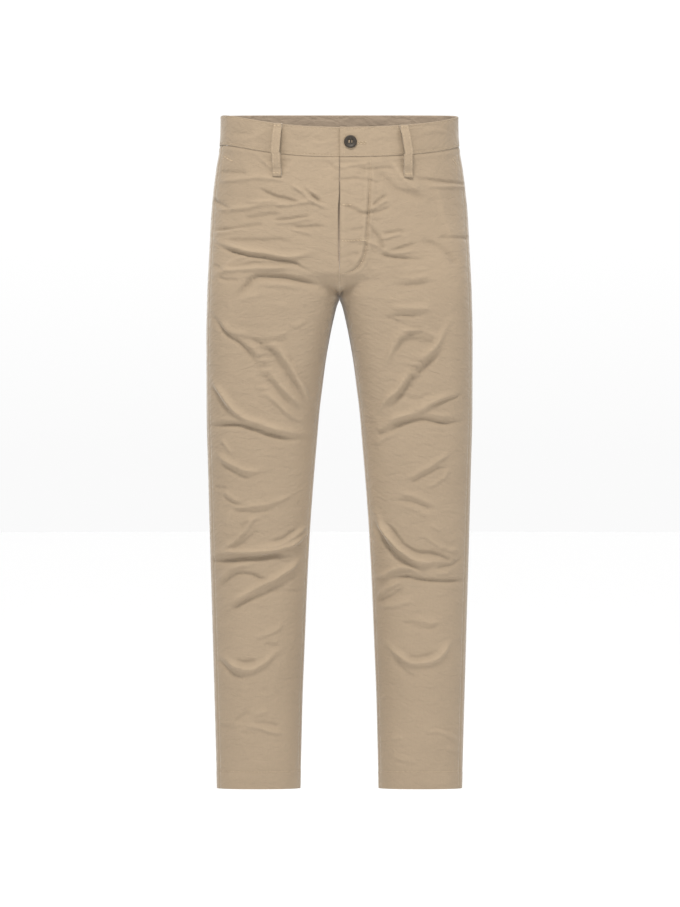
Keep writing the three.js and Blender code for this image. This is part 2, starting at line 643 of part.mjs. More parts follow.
function buttonGeometry() {
  const rim = BUTTON.diameter / 2 - BUTTON.roundOut;
  const shape = new THREE.Shape();
  shape.absarc(0, 0, rim, 0, Math.PI * 2, false);
  for (const [sx, sy] of [[1, 1], [-1, 1], [-1, -1], [1, -1]]) {
    const hole = new THREE.Path();
    const reach = BUTTON.holePitch / 2;
    hole.absarc(sx * reach, sy * reach, BUTTON.hole / 2, 0, Math.PI * 2, true);
    shape.holes.push(hole);
  }
  const geometry = new THREE.ExtrudeGeometry(shape, {
    depth: BUTTON.thick - 2 * BUTTON.roundDeep, bevelEnabled: true, bevelThickness: BUTTON.roundDeep,
    bevelSize: BUTTON.roundOut, bevelSegments: 2, curveSegments: 9,
  });
  geometry.translate(0, 0, BUTTON.roundDeep);
  const turn = bandTurnAtX(1, BUTTON.x, true);
  const depth = BUTTON.drop - waistEdge(1, turn);
  const point = bandPoint(1, turn, depth);
  const normal = bandNormal(1, turn, depth);
  point.addScaledVector(normal, BAND_PROUD + BUTTON.clear);
  const facing = new THREE.Quaternion().setFromUnitVectors(new THREE.Vector3(0, 0, 1), normal);
  geometry.applyQuaternion(facing);
  geometry.translate(point.x, point.y, point.z);
  return geometry;
}

const twill = new THREE.MeshStandardMaterial({ name: 'cotton_twill', color: 0xb4a086, roughness: 0.9 });
const twillInside = new THREE.MeshStandardMaterial({ name: 'twill_inside', color: 0xa09080, roughness: 0.95 });
const buttonResin = new THREE.MeshStandardMaterial({ name: 'button_resin', color: 0x47433d, roughness: 0.45 });

const group = new THREE.Group();
group.name = 'chino_trousers';

function addNode(name, geometry, material) {
  const mesh = new THREE.Mesh(geometry, material);
  mesh.name = name;
  group.add(mesh);
}

// Where each loop's strap crosses the band's top edge and where it ends, from the centre plane.
const LOOP_PLACES = [
  { name: 'belt_loop_front_left', side: 1, top: 98, bottom: 104, front: true },
  { name: 'belt_loop_front_right', side: -1, top: 93.5, bottom: 94, front: true },
  { name: 'belt_loop_back_left', side: 1, top: 84, bottom: 85, front: false },
  { name: 'belt_loop_back_right', side: -1, top: 84, bottom: 85, front: false },
  { name: 'belt_loop_back_centre', side: 1, top: 0, bottom: 0, front: false },
];

const frontSpan = (drop) => [sideSeamAt(drop), inseamAt(drop)];
const backSpan = (drop) => [sideSeamAt(drop), inseamAt(drop) - 2];

addNode('front_left', clothPanel(1, ROW_DROPS, FRONT_COLUMNS, frontSpan), twill);
addNode('front_right', clothPanel(-1, ROW_DROPS, FRONT_COLUMNS, frontSpan), twill);
addNode('back_left', clothPanel(1, ROW_DROPS, BACK_COLUMNS, backSpan), twill);
addNode('back_right', clothPanel(-1, ROW_DROPS, BACK_COLUMNS, backSpan), twill);
addNode('waistband_left', bandGeometry(leftBandStations(), true), twill);
addNode('waistband_right', bandGeometry(rightBandStations(), true), twill);
addNode('fly_underlap', underlapGeometry(), twillInside);
for (const place of LOOP_PLACES) {
  addNode(place.name, loopGeometry(place.side, place.top, place.bottom, place.front), twill);
}
addNode('waist_button', buttonGeometry(), buttonResin);

export default group;
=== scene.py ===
from collections import namedtuple
from math import pi

import bmesh
import bpy
import numpy as np
from mathutils import Matrix, Vector
from mathutils.bvhtree import BVHTree


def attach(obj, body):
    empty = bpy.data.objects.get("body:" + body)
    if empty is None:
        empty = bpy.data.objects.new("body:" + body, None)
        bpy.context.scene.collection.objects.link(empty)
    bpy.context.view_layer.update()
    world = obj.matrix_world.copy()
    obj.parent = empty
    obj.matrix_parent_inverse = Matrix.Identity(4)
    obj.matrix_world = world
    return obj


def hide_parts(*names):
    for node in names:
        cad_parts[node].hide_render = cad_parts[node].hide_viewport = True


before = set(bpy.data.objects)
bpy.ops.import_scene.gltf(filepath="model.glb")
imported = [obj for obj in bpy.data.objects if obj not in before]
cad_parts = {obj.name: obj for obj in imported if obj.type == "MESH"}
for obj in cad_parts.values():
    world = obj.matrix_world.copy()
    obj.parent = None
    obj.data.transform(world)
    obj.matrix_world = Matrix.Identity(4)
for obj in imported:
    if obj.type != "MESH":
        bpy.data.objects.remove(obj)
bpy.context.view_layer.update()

# Studio
# A pale floor with a faint glow well below the hems, a pale sky as soft fill, one broad lamp above the front
# and a weaker one on each side. The camera stands 4.5 m in front, a little above the knees, on a long lens.
EYE = Vector((0.0008, -4.5, -0.5216))


def shade(name, kind, inputs=None, links=None, **settings):
    """Adds one node to the open tree, sets its inputs and links them from other sockets."""
    node = open_tree.nodes.new(kind)
    node.name = name
    for key, value in settings.items():
        setattr(node, key, value)
    for key, value in (inputs or {}).items():
        node.inputs[key].default_value = value
    for key, socket in (links or {}).items():
        open_tree.links.new(socket, node.inputs[key])
    return node


def put_in(name, data):
    """A new object in the scene that holds a mesh, a lamp or a camera."""
    made = bpy.data.objects.new(name, data)
    scene.collection.objects.link(made)
    return made


def new_look(name, values):
    """A new material and its surface inputs. Its tree is left open, for the nodes that colour it."""
    global open_tree
    material = bpy.data.materials.new(name)
    material.use_nodes = True
    open_tree = material.node_tree
    surface = open_tree.nodes["Principled BSDF"].inputs
    for key, value in values.items():
        surface[key].default_value = value
    return material, surface


def linear(code):
    """Linear colour with alpha, from an sRGB hex code."""
    parts = [int(code[i:i + 2], 16) / 255 for i in (0, 2, 4)]
    return [p / 12.92 if p <= 0.04045 else ((p + 0.055) / 1.055) ** 2.4 for p in parts] + [1.0]


scene = bpy.context.scene
scene.view_settings.view_transform = "Standard"
scene.view_settings.look = "None"
lens = bpy.data.cameras.new("camera")
lens.lens = 115.2
lens.sensor_width = 36.0
lens.clip_end = 60.0
camera = put_in("camera", lens)
camera.location = EYE
camera.rotation_euler = (pi / 2, 0, 0)
scene.camera = camera

world = bpy.data.worlds.new("studio_sky")
world.use_nodes = True
open_tree = world.node_tree
sky = open_tree.nodes["Background"]
sky.inputs["Color"].default_value = linear("f8f8f8")
height = shade("sky_place", "ShaderNodeTexCoord").outputs["Generated"]
way = shade("sky_way", "ShaderNodeSeparateXYZ", None, {0: height}).outputs
glow = shade("sky_glow", "ShaderNodeMapRange",
             {"From Min": 0.0, "From Max": 0.9, "To Min": 0.5, "To Max": 1.12}, {"Value": way["Z"]})
behind = shade("sky_behind", "ShaderNodeMapRange",
               {"From Min": 0.5, "From Max": 0.95, "To Min": 0.0, "To Max": 0.52}, {"Value": way["Y"]})
strength = shade("sky_strength", "ShaderNodeMath", None,
                 {0: glow.outputs["Result"], 1: behind.outputs["Result"]}, operation="ADD")
open_tree.links.new(strength.outputs[0], sky.inputs["Strength"])
scene.world = world


def area_lamp(name, place, target, size, power, colour):
    lamp = bpy.data.lights.new(name, "AREA")
    lamp.shape = "RECTANGLE"
    lamp.size, lamp.size_y = size
    lamp.energy = power
    lamp.color = linear(colour)[:3]
    holder = put_in(name, lamp)
    holder.location = place
    holder.rotation_euler = (Vector(target) - Vector(place)).to_track_quat("-Z", "Y").to_euler()


area_lamp("lamp_above_front", (-0.3, -1.9, 2.6), (0, 0, -0.5), (1.2, 0.7), 122, "fffaf2")
area_lamp("lamp_right", (2.7, -2.6, -0.5), (0, 0, -0.5), (1.0, 1.8), 34, "ffffff")
area_lamp("lamp_left", (-2.7, -2.6, -0.5), (0, 0, -0.5), (1.0, 1.8), 24, "ffffff")

paper, _ = new_look("studio_paper", {
    "Base Color": linear("fafafa"), "Roughness": 0.9,
    "Emission Color": linear("ffffff"), "Emission Strength": 0.09})
bpy.ops.mesh.primitive_circle_add(vertices=64, radius=30, fill_type="NGON", location=(0, 0, -1.45))
floor = bpy.context.object
floor.name = "studio_floor"
floor.data.materials.append(paper)

# Leg fronts
# The two fronts of washed cotton twill, each cut in one piece from the waist seam to the hem and sewn to
# its back at the side and down the inside leg. The wearer's left one laps over the right one at the fly.
# Where the worn cloth slackens it breaks into folds: at the hips, from crotch to knee, and down the shins.
BAND_HEIGHT = 46.0
CROTCH_DROP = 282.0
HEM_DROP = 1040.0
HEM_TURN = 28.0
HEM_FOLD_DROP = HEM_DROP - HEM_TURN
RISE = CROTCH_DROP - BAND_HEIGHT
CLOTH_WALL = 1.4
HEM_WALL = 2.6
HEM_ROWS = 18
EDGE_ROLL = 0.9
# How much paler the painted highlight on the inner thighs makes the cloth.
INNER_THIGH_PAINTED_LIGHT = 12
HALF_SEAM = 0.03
FLY_EDGE_X = 1.0
FLY_END_DROP = 247.0
TORSO_POWER = 2.35
TORSO_FROM = 0.7
CROTCH_REACH_FRONT, CROTCH_REACH_BACK = 0.17, 0.55
WAIST_BACK_RISE, WAIST_BACK_POWER = 14.2, 0.7
WAIST_FRONT_DIP = 26.3
WAIST_FRONT_POWER = {1: 1.3, -1: 2.4}
HEM_ARC, HEM_ARC_FROM, HEM_ARC_LENGTH = 4, 880, 160

Section = namedtuple("Section", "drop outer front back mid power")
SECTIONS = [
    Section(-30, 183.7, -99, 98, 0, 3.0), Section(0, 183.7, -100, 100, 0, 3.0),
    Section(28, 183.9, -102, 104, 1, 3.0), Section(46, 185.2, -103, 106, 1, 3.0),
    Section(84, 191.4, -107, 114, 2, 3.0), Section(121, 196.0, -112, 122, 3, 3.0),
    Section(158, 199.2, -115, 128, 5, 3.0), Section(200, 200.8, -117, 132, 6, 3.9),
    Section(282, 204.0, -114, 124, 4, 3.9), Section(350, 205.4, -106, 108, 1, 3.6),
    Section(450, 205.4, -95, 88, -3, 3.0), Section(560, 202.8, -84, 66, -8, 2.6),
    Section(680, 200.0, -70, 66, -2, 2.4), Section(800, 196.7, -62, 66, 2, 2.2),
    Section(920, 193.3, -57, 60, 2, 2.15), Section(1050, 189.7, -54, 54, 0, 2.15),
]
Inseam = namedtuple("Inseam", "drop inner")
INSEAM = [
    Inseam(282, 0), Inseam(290, 3.4), Inseam(307, 7.8), Inseam(344, 15.5), Inseam(381, 21.7),
    Inseam(418, 26.4), Inseam(456, 31.0), Inseam(493, 34.1), Inseam(567, 40.3), Inseam(642, 45.7),
    Inseam(716, 49.6), Inseam(828, 54.3), Inseam(902, 57.2), Inseam(976, 59.0), Inseam(1050, 60.8),
]
Seam = namedtuple("Seam", "drop side inseam")
SEAMS = [
    Seam(40, 0.16, 1), Seam(282, 0.155, 1), Seam(330, 0.148, 0.97), Seam(450, 0.144, 0.915),
    Seam(1050, 0.144, 0.905),
]


def step(low, high, value):
    t = np.clip((value - low) / (high - low), 0, 1)
    return t * t * (3 - 2 * t)


def curve_of(rows, column):
    """A smooth curve through one column of a table, without overshoot."""
    x = np.array([row.drop for row in rows], float)
    y = np.array([getattr(row, column) for row in rows], float)
    slope = np.diff(y) / np.diff(x)
    product = slope[:-1] * slope[1:]
    total = np.where(product > 0, slope[:-1] + slope[1:], 1)
    inside = np.where(product > 0, 2 * product / total, 0)
    tangent = np.concatenate([slope[:1], inside, slope[-1:]])

    def at(value):
        value = np.clip(value, x[0], x[-1])
        i = np.clip(np.searchsorted(x, value, side="right") - 1, 0, len(x) - 2)
        width = x[i + 1] - x[i]
        t = (value - x[i]) / width
        return ((1 + 2 * t) * (1 - t) ** 2 * y[i] + t * (1 - t) ** 2 * width * tangent[i]
                + t * t * (3 - 2 * t) * y[i + 1] + t * t * (t - 1) * width * tangent[i + 1])

    return at


outer_at = curve_of(SECTIONS, "outer")
front_at = curve_of(SECTIONS, "front")
back_at = curve_of(SECTIONS, "back")
mid_at = curve_of(SECTIONS, "mid")
power_at = curve_of(SECTIONS, "power")
inner_at = curve_of(INSEAM, "inner")
side_seam_at = curve_of(SEAMS, "side")
inseam_at = curve_of(SEAMS, "inseam")


def waist_edge(side, turn):
    """Drop of the band's top edge below the side: it dips in front and rises behind."""
    across = np.abs(np.sin(pi / 2 * np.minimum(1, np.abs(turn))))
    dip = WAIST_FRONT_DIP * across ** WAIST_FRONT_POWER[side]
    return np.where(turn < 0, -WAIST_BACK_RISE * across ** WAIST_BACK_POWER, dip)


def true_drop(side, side_drop, turn):
    above = (CROTCH_DROP - side_drop) / RISE
    rise = CROTCH_DROP - (RISE - waist_edge(side, turn)) * above
    low = np.clip((side_drop - HEM_ARC_FROM) / HEM_ARC_LENGTH, 0, 1.1)
    leg = side_drop - HEM_ARC * low * low * np.maximum(0, np.sin(pi * turn))
    return np.where(side_drop < CROTCH_DROP, rise, leg)


def round_side(value, power):
    return np.sign(value) * np.abs(value) ** (2 / power)


def round_depth(across, power):
    return np.maximum(0, 1 - np.minimum(1, np.abs(across)) ** power) ** (1 / power)


def body_points(side, side_drop, turn):
    """Points of the plain body, in millimetres. side is 1 for the wearer's left."""
    drop = true_drop(side, side_drop, turn)
    high = side_drop < CROTCH_DROP
    outer = outer_at(drop)
    inner = np.where(high, 0, inner_at(drop))
    mid = mid_at(drop)
    power = power_at(drop)
    angle = pi * turn
    front = np.where(high, turn >= 0, np.sin(angle) >= 0)
    depth = np.where(front, mid - front_at(drop), mid - back_at(drop))
    centre = (outer + inner) / 2
    half = (outer - inner) / 2
    leg_x = centre + half * round_side(np.cos(angle), power)
    leg_share = round_depth((leg_x - centre) / half, power)
    above = np.clip((CROTCH_DROP - side_drop) / RISE, 0, 1.1)
    torso = step(0, TORSO_FROM, above)
    quarter = np.cos(pi / 2 * np.minimum(1, np.abs(turn)))
    x = leg_x + (outer * round_side(quarter, TORSO_POWER) - leg_x) * torso
    leg = round_depth((x - centre) / half, power)
    trunk = round_depth(x / outer, TORSO_POWER)
    reach = np.where(front, CROTCH_REACH_FRONT, CROTCH_REACH_BACK)
    low = np.clip(1 - above / reach, 0, 1)
    bridge = trunk * np.sqrt(1 - low * low)
    body = leg + (trunk - leg) * torso
    soft = 0.1 * (1 - torso) * step(0, 0.1, above)
    near = np.maximum(soft - np.abs(body - bridge), 0)
    share = np.maximum(body, bridge) + near * near / (4 * np.maximum(soft, 1e-9))
    x = np.where(high, x, leg_x)
    share = np.where(high, share, leg_share)
    return np.stack([side * np.maximum(0, x), mid - depth * share, -drop + 0 * x], axis=-1)


def body_normals(side, side_drop, turn):
    around = body_points(side, side_drop, turn + 0.002) - body_points(side, side_drop, turn - 0.002)
    down = body_points(side, side_drop + 0.6, turn) - body_points(side, side_drop - 0.6, turn)
    normal = np.cross(around, down)
    return side * normal / np.maximum(np.linalg.norm(normal, axis=-1, keepdims=True), 1e-9)


# Each fold runs through its points, given as they show from the camera on an upright plane 85 mm in front
# of the side seams: millimetres across and millimetres below the waist. A height below 0 is a crease.
PLANE_AHEAD, EYE_AWAY, EYE_DROP = 85, 4500, 521.6
Fold = namedtuple("Fold", "height spread points")
HIP_FOLDS = [
    Fold(-0.7, 4, [(-50, 73), (-31, 75), (-19, 78), (-6, 88)]),
    Fold(0.8, 5, [(-127, 66), (-108, 83)]),
    Fold(0.8, 5, [(-79, 91), (-69, 77)]),
    Fold(-0.6, 4, [(-170, 94), (-153, 94)]),
    Fold(1.0, 6, [(-160, 106), (-127, 102), (-100, 104)]),
    Fold(-1.2, 5, [(-112, 124), (-96, 131), (-85, 133), (-71, 137)]),
    Fold(0.9, 4, [(-127, 139), (-104, 138)]),
    Fold(1.1, 5, [(-89, 144), (-66, 142), (-50, 139)]),
    Fold(-1.9, 3.4, [(-44, 126), (-36, 133), (-28, 139)]),
    Fold(1.6, 4.5, [(-52, 114), (-42, 124), (-31, 131)]),
    Fold(1.2, 4, [(-66, 118), (-54, 126), (-45, 136), (-29, 144)]),
    Fold(-0.8, 4, [(-186, 139), (-172, 147)]),
    Fold(1.2, 6, [(-166, 151), (-140, 148), (-118, 143)]),
    Fold(-1.0, 5, [(-131, 162), (-108, 158)]),
    Fold(-0.9, 3.5, [(-89, 166), (-69, 164), (-54, 162)]),
    Fold(0.9, 4, [(-89, 171), (-69, 169), (-50, 165)]),
    Fold(-1.0, 4, [(-176, 181), (-153, 178), (-131, 174)]),
    Fold(1.0, 4, [(-176, 186), (-156, 182)]),
    Fold(-0.9, 4, [(-64, 177), (-50, 177), (-35, 176)]),
    Fold(0.8, 4, [(-64, 183), (-50, 186)]),
    Fold(-1.6, 7, [(-174, 198), (-158, 197), (-127, 198), (-96, 197), (-69, 200)]),
    Fold(3.4, 6.5, [(-184, 200), (-170, 205), (-156, 210), (-141, 214), (-124, 216), (-104, 219), (-89, 222),
                    (-73, 223), (-58, 220), (-36, 213)]),
    Fold(-2.6, 3.2, [(-187, 203), (-172, 211), (-154, 216), (-139, 220), (-118, 222), (-96, 226), (-77, 228),
                     (-68, 231), (-58, 238), (-44, 245)]),
    Fold(1.6, 4, [(-176, 240), (-166, 231), (-153, 225), (-141, 220)]),
    Fold(-0.6, 3, [(-186, 238), (-180, 242)]),
    Fold(-1.5, 5, [(-176, 240), (-160, 237), (-141, 234), (-124, 231), (-104, 232), (-81, 233), (-69, 234)]),
    Fold(2.8, 7, [(-189, 249), (-176, 244), (-156, 242), (-124, 240), (-108, 240), (-89, 239), (-70, 239)]),
    Fold(-1.4, 4, [(-185, 253), (-174, 257), (-153, 258)]),
    Fold(-3.6, 6, [(-159, 284), (-150, 276), (-141, 265), (-133, 256), (-122, 251), (-104, 252), (-85, 253),
                   (-69, 256), (-54, 259), (-40, 263), (-27, 268)]),
    Fold(1.6, 7, [(-120, 263), (-90, 265), (-60, 270)]),
    Fold(-0.7, 4, [(5, 77), (19, 77)]),
    Fold(0.8, 4, [(5, 86), (19, 83), (48, 79)]),
    Fold(-0.8, 4, [(44, 89), (67, 87)]),
    Fold(-0.8, 4, [(5, 105), (25, 103), (44, 106)]),
    Fold(-1.2, 8, [(64, 97), (77, 110), (89, 120), (104, 124), (122, 131)]),
    Fold(1.2, 7, [(83, 83), (98, 106), (112, 116)]),
    Fold(-0.9, 5, [(141, 106), (180, 111)]),
    Fold(0.9, 5, [(154, 116), (180, 115)]),
    Fold(-0.9, 4, [(54, 142), (60, 137), (67, 131)]),
    Fold(0.9, 4, [(50, 149), (58, 145), (67, 139)]),
    Fold(-0.8, 4, [(48, 155), (62, 153), (71, 149)]),
    Fold(-0.9, 4, [(12, 146), (23, 150), (33, 155), (42, 156)]),
    Fold(-1.0, 4, [(48, 178), (54, 186), (60, 193), (65, 207)]),
    Fold(1.0, 4, [(42, 200), (54, 205), (66, 212)]),
    Fold(-0.8, 4, [(77, 186), (91, 183)]),
    Fold(0.9, 4, [(71, 194), (85, 190)]),
    Fold(-1.4, 5, [(75, 214), (91, 210), (106, 205), (116, 202)]),
    Fold(1.4, 4.5, [(75, 217), (98, 216), (118, 212)]),
    Fold(-1.3, 3, [(73, 221), (91, 224), (106, 225)]),
    Fold(-1.2, 7, [(133, 199), (145, 203), (160, 211), (170, 222), (176, 230)]),
    Fold(-0.9, 4, [(164, 193), (184, 193)]),
    Fold(1.5, 6, [(93, 250), (100, 246), (116, 242), (134, 240)]),
    Fold(1.5, 6, [(94, 257), (116, 255), (134, 250)]),
    Fold(-1.9, 6, [(92, 265), (114, 265), (137, 261)]),
    Fold(0.5, 9, [(151, 126), (158, 155), (168, 184)]),
]
THIGH_FOLDS = [
    Fold(1.8, 8, [(-151, 289), (-137, 283), (-120, 280)]),
    Fold(1.5, 7, [(-104, 292), (-96, 293), (-88, 297), (-80, 302)]),
    Fold(1.3, 5, [(-71, 330), (-62, 326), (-53, 319)]),
    Fold(-3.4, 4.5, [(-194, 309), (-185, 323), (-178, 333), (-169, 342), (-160, 348), (-151, 354),
                     (-144, 361), (-135, 371), (-128, 380), (-122, 390)]),
    Fold(2.0, 7, [(-182, 322), (-170, 333), (-159, 338), (-147, 340), (-137, 342)]),
    Fold(-3.2, 5, [(-141, 348), (-131, 349), (-119, 354), (-109, 360), (-100, 370), (-93, 382), (-85, 392),
                   (-78, 404), (-69, 417), (-62, 428), (-53, 441)]),
    Fold(4.2, 6, [(-126, 338), (-114, 345), (-103, 354), (-94, 363), (-87, 371), (-79, 382), (-72, 393),
                  (-66, 404), (-60, 415), (-54, 427), (-48, 440), (-41, 449)]),
    Fold(-1.2, 3.5, [(-78, 371), (-70, 383)]),
    Fold(1.6, 4.5, [(-109, 344), (-98, 343), (-88, 340), (-78, 335)]),
    Fold(-1.3, 3.5, [(-98, 350), (-88, 351), (-78, 347)]),
    Fold(3.4, 6, [(-148, 351), (-137, 357), (-128, 364), (-121, 372), (-114, 382), (-106, 395), (-98, 407),
                  (-85, 423), (-75, 433), (-66, 442), (-57, 451), (-50, 460)]),
    Fold(-2.4, 4, [(-128, 380), (-119, 392), (-110, 406), (-101, 417), (-93, 428), (-85, 437), (-78, 445),
                   (-67, 454)]),
    Fold(3.2, 6, [(-131, 404), (-122, 415), (-113, 427), (-104, 436), (-94, 445), (-87, 452), (-78, 461),
                  (-69, 467), (-52, 475)]),
    Fold(5.0, 7, [(-192, 408), (-188, 417), (-182, 426), (-176, 434), (-170, 443), (-163, 452), (-154, 461),
                  (-145, 467), (-137, 471), (-125, 474), (-113, 479), (-101, 483), (-90, 486), (-65, 490),
                  (-48, 491)]),
    Fold(-2.0, 5, [(-195, 420), (-189, 428), (-182, 440), (-175, 451), (-165, 461)]),
    Fold(1.3, 5, [(-186, 470), (-168, 470), (-150, 473)]),
    Fold(-4.2, 4.5, [(-199, 479), (-185, 479), (-171, 478), (-152, 478), (-136, 482), (-125, 485),
                     (-113, 490), (-101, 493), (-90, 496), (-74, 499), (-55, 499)]),
    Fold(1.4, 5, [(72, 286), (82, 289), (92, 286)]),
    Fold(2.6, 8, [(80, 297), (98, 301), (117, 301), (140, 303)]),
    Fold(-2.6, 4, [(80, 312), (95, 312), (110, 312), (124, 311)]),
    Fold(-2.2, 3.2, [(70, 313), (82, 318), (91, 322), (101, 327)]),
    Fold(1.2, 4, [(88, 313), (97, 317), (104, 323)]),
    Fold(4.2, 6.5, [(122, 321), (113, 326), (104, 333), (95, 340), (88, 347), (83, 356), (79, 365), (75, 375),
                    (69, 387)]),
    Fold(-2.0, 4, [(127, 324), (120, 331), (111, 338), (103, 344), (95, 352), (89, 361), (83, 370)]),
    Fold(1.6, 6, [(122, 331), (132, 336), (141, 341), (150, 345)]),
    Fold(-1.8, 8, [(100, 348), (117, 348), (132, 352), (144, 354)]),
    Fold(5.2, 6.5, [(170, 320), (161, 332), (155, 342), (151, 351), (145, 360), (138, 367), (130, 374),
                    (123, 380), (116, 388), (108, 396), (103, 404), (97, 412), (91, 421), (84, 429),
                    (76, 435), (70, 442), (63, 452), (52, 464)]),
    Fold(-3.4, 5, [(160, 360), (150, 369), (141, 378), (132, 387), (125, 394), (117, 400), (111, 407),
                   (106, 415), (101, 423), (95, 431), (89, 437), (82, 446), (74, 455)]),
    Fold(-1.4, 5, [(88, 433), (100, 433), (111, 439), (120, 440), (132, 433), (144, 431)]),
    Fold(1.6, 5, [(126, 449), (128, 443), (134, 438), (147, 437)]),
    Fold(4.2, 6.5, [(58, 480), (73, 474), (84, 468), (95, 465), (106, 462), (117, 458), (126, 453),
                    (135, 448), (147, 441), (161, 436), (176, 431)]),
    Fold(-2.0, 3, [(136, 451), (144, 447), (154, 444), (166, 440), (176, 437), (190, 430)]),
    Fold(-3.8, 5, [(64, 487), (78, 480), (91, 476), (103, 473), (114, 470), (126, 469), (138, 471),
                   (150, 474), (161, 475), (173, 474), (188, 472)]),
    Fold(1.5, 5, [(132, 459), (147, 463), (158, 465), (176, 465)]),
    Fold(-0.8, 4, [(38, 475), (58, 475)]),
]
SHIN_FOLDS = [
    Fold(1.6, 5, [(-181, 500), (-173, 509), (-163, 522)]),
    Fold(3.2, 6, [(-187, 521), (-179, 528), (-171, 534), (-161, 539), (-152, 544), (-142, 548), (-129, 549),
                  (-114, 548)]),
    Fold(-2.0, 4, [(-182, 536), (-171, 543), (-160, 550), (-148, 556), (-134, 560)]),
    Fold(1.8, 5, [(-177, 578), (-165, 588), (-152, 595)]),
    Fold(-1.6, 4, [(-178, 585), (-165, 595), (-152, 600), (-136, 600)]),
    Fold(-1.2, 4, [(-190, 572), (-171, 575)]),
    Fold(1.9, 5, [(-169, 597), (-160, 602), (-146, 603), (-129, 601), (-113, 600), (-101, 597), (-90, 593),
                  (-78, 587), (-70, 583)]),
    Fold(-1.7, 4, [(-162, 611), (-146, 609), (-129, 611), (-113, 609), (-97, 604)]),
    Fold(1.6, 5, [(-173, 632), (-169, 619), (-162, 608)]),
    Fold(3.4, 5.5, [(-179, 668), (-171, 663), (-161, 656), (-152, 647), (-144, 640), (-138, 630), (-131, 622),
                    (-115, 616)]),
    Fold(-2.0, 4, [(-166, 670), (-154, 662), (-142, 654), (-132, 645), (-124, 636)]),
    Fold(-1.4, 4, [(-150, 636), (-140, 624)]),
    Fold(2.4, 5, [(-134, 663), (-113, 663), (-101, 662), (-90, 659), (-78, 654), (-67, 646), (-57, 638),
                  (-49, 629)]),
    Fold(-1.9, 4, [(-103, 656), (-86, 651), (-75, 643), (-62, 635)]),
    Fold(4.8, 6, [(-192, 675), (-177, 672), (-161, 671), (-146, 671), (-129, 671), (-113, 670), (-98, 668),
                  (-86, 665), (-74, 661), (-66, 656), (-58, 650), (-49, 642)]),
    Fold(-5.0, 5.5, [(-197, 684), (-181, 684), (-161, 683), (-142, 681), (-123, 680), (-103, 677), (-90, 676),
                     (-72, 677)]),
    Fold(-0.9, 3.5, [(-94, 679), (-84, 687), (-74, 685)]),
    Fold(2.4, 5.5, [(-183, 716), (-175, 706), (-167, 698), (-158, 694), (-148, 692), (-127, 690)]),
    Fold(-3.0, 5, [(-187, 731), (-175, 718), (-165, 709), (-154, 704), (-140, 704), (-129, 707), (-119, 712),
                   (-105, 713)]),
    Fold(4.4, 6.5, [(-174, 751), (-161, 747), (-152, 741), (-138, 733), (-125, 725), (-113, 719), (-101, 714),
                    (-92, 708), (-82, 701), (-72, 694), (-65, 687), (-55, 679)]),
    Fold(-3.0, 5, [(-178, 772), (-163, 759), (-154, 752), (-142, 745), (-129, 740), (-113, 734), (-101, 727),
                   (-90, 723), (-74, 713), (-64, 701)]),
    Fold(-1.2, 5, [(-103, 729), (-80, 731), (-57, 731)]),
    Fold(1.2, 4, [(-86, 721), (-69, 715)]),
    Fold(1.8, 5, [(55, 484), (67, 483), (79, 477), (88, 471)]),
    Fold(-1.6, 4, [(55, 490), (69, 490), (83, 484), (99, 477)]),
    Fold(1.5, 6, [(55, 508), (69, 498), (92, 490)]),
    Fold(2.4, 5.5, [(98, 562), (112, 556), (123, 549), (137, 542), (148, 534), (160, 526), (170, 521)]),
    Fold(-2.0, 4, [(108, 568), (121, 559), (137, 551), (148, 545), (166, 543)]),
    Fold(1.5, 5, [(131, 573), (144, 569), (152, 563), (160, 557), (167, 545)]),
    Fold(2.0, 5.5, [(90, 583), (106, 585), (117, 588), (127, 593), (143, 600)]),
    Fold(-1.9, 4, [(86, 593), (104, 594), (117, 597), (131, 602), (145, 609)]),
    Fold(1.4, 5, [(104, 603), (121, 609), (139, 620)]),
    Fold(1.2, 5, [(139, 629), (154, 642)]),
    Fold(1.5, 5, [(123, 643), (137, 652), (148, 660), (156, 664)]),
    Fold(5.6, 7, [(55, 612), (61, 626), (66, 636), (73, 646), (81, 656), (88, 664), (96, 671), (106, 678),
                  (114, 683), (126, 687), (142, 687), (160, 684)]),
    Fold(-2.8, 5, [(65, 622), (75, 633), (83, 642), (91, 654), (101, 663), (113, 670), (127, 673), (141, 672),
                   (150, 674)]),
    Fold(-4.2, 5, [(54, 629), (61, 643), (69, 657), (77, 668), (86, 678), (96, 685), (106, 691), (115, 695),
                   (128, 705)]),
    Fold(-3.0, 4, [(136, 674), (150, 676), (158, 679), (170, 684)]),
    Fold(1.8, 4.5, [(150, 668), (160, 665), (168, 669), (183, 669)]),
    Fold(-2.2, 4.5, [(146, 697), (160, 693), (173, 690), (185, 680)]),
    Fold(1.6, 5, [(146, 704), (168, 704)]),
    Fold(4.2, 5.5, [(52, 711), (65, 708), (75, 702), (84, 697), (96, 695), (108, 696), (117, 701),
                    (127, 707)]),
    Fold(-3.8, 4.5, [(75, 711), (90, 709), (106, 709), (117, 712), (131, 714), (148, 715), (166, 715),
                     (179, 714), (192, 712)]),
    Fold(2.8, 5.5, [(58, 738), (71, 728), (81, 723), (92, 716)]),
    Fold(-2.0, 4.5, [(56, 747), (69, 742), (83, 736), (96, 725)]),
    Fold(1.8, 7, [(63, 755), (86, 752), (114, 745)]),
]
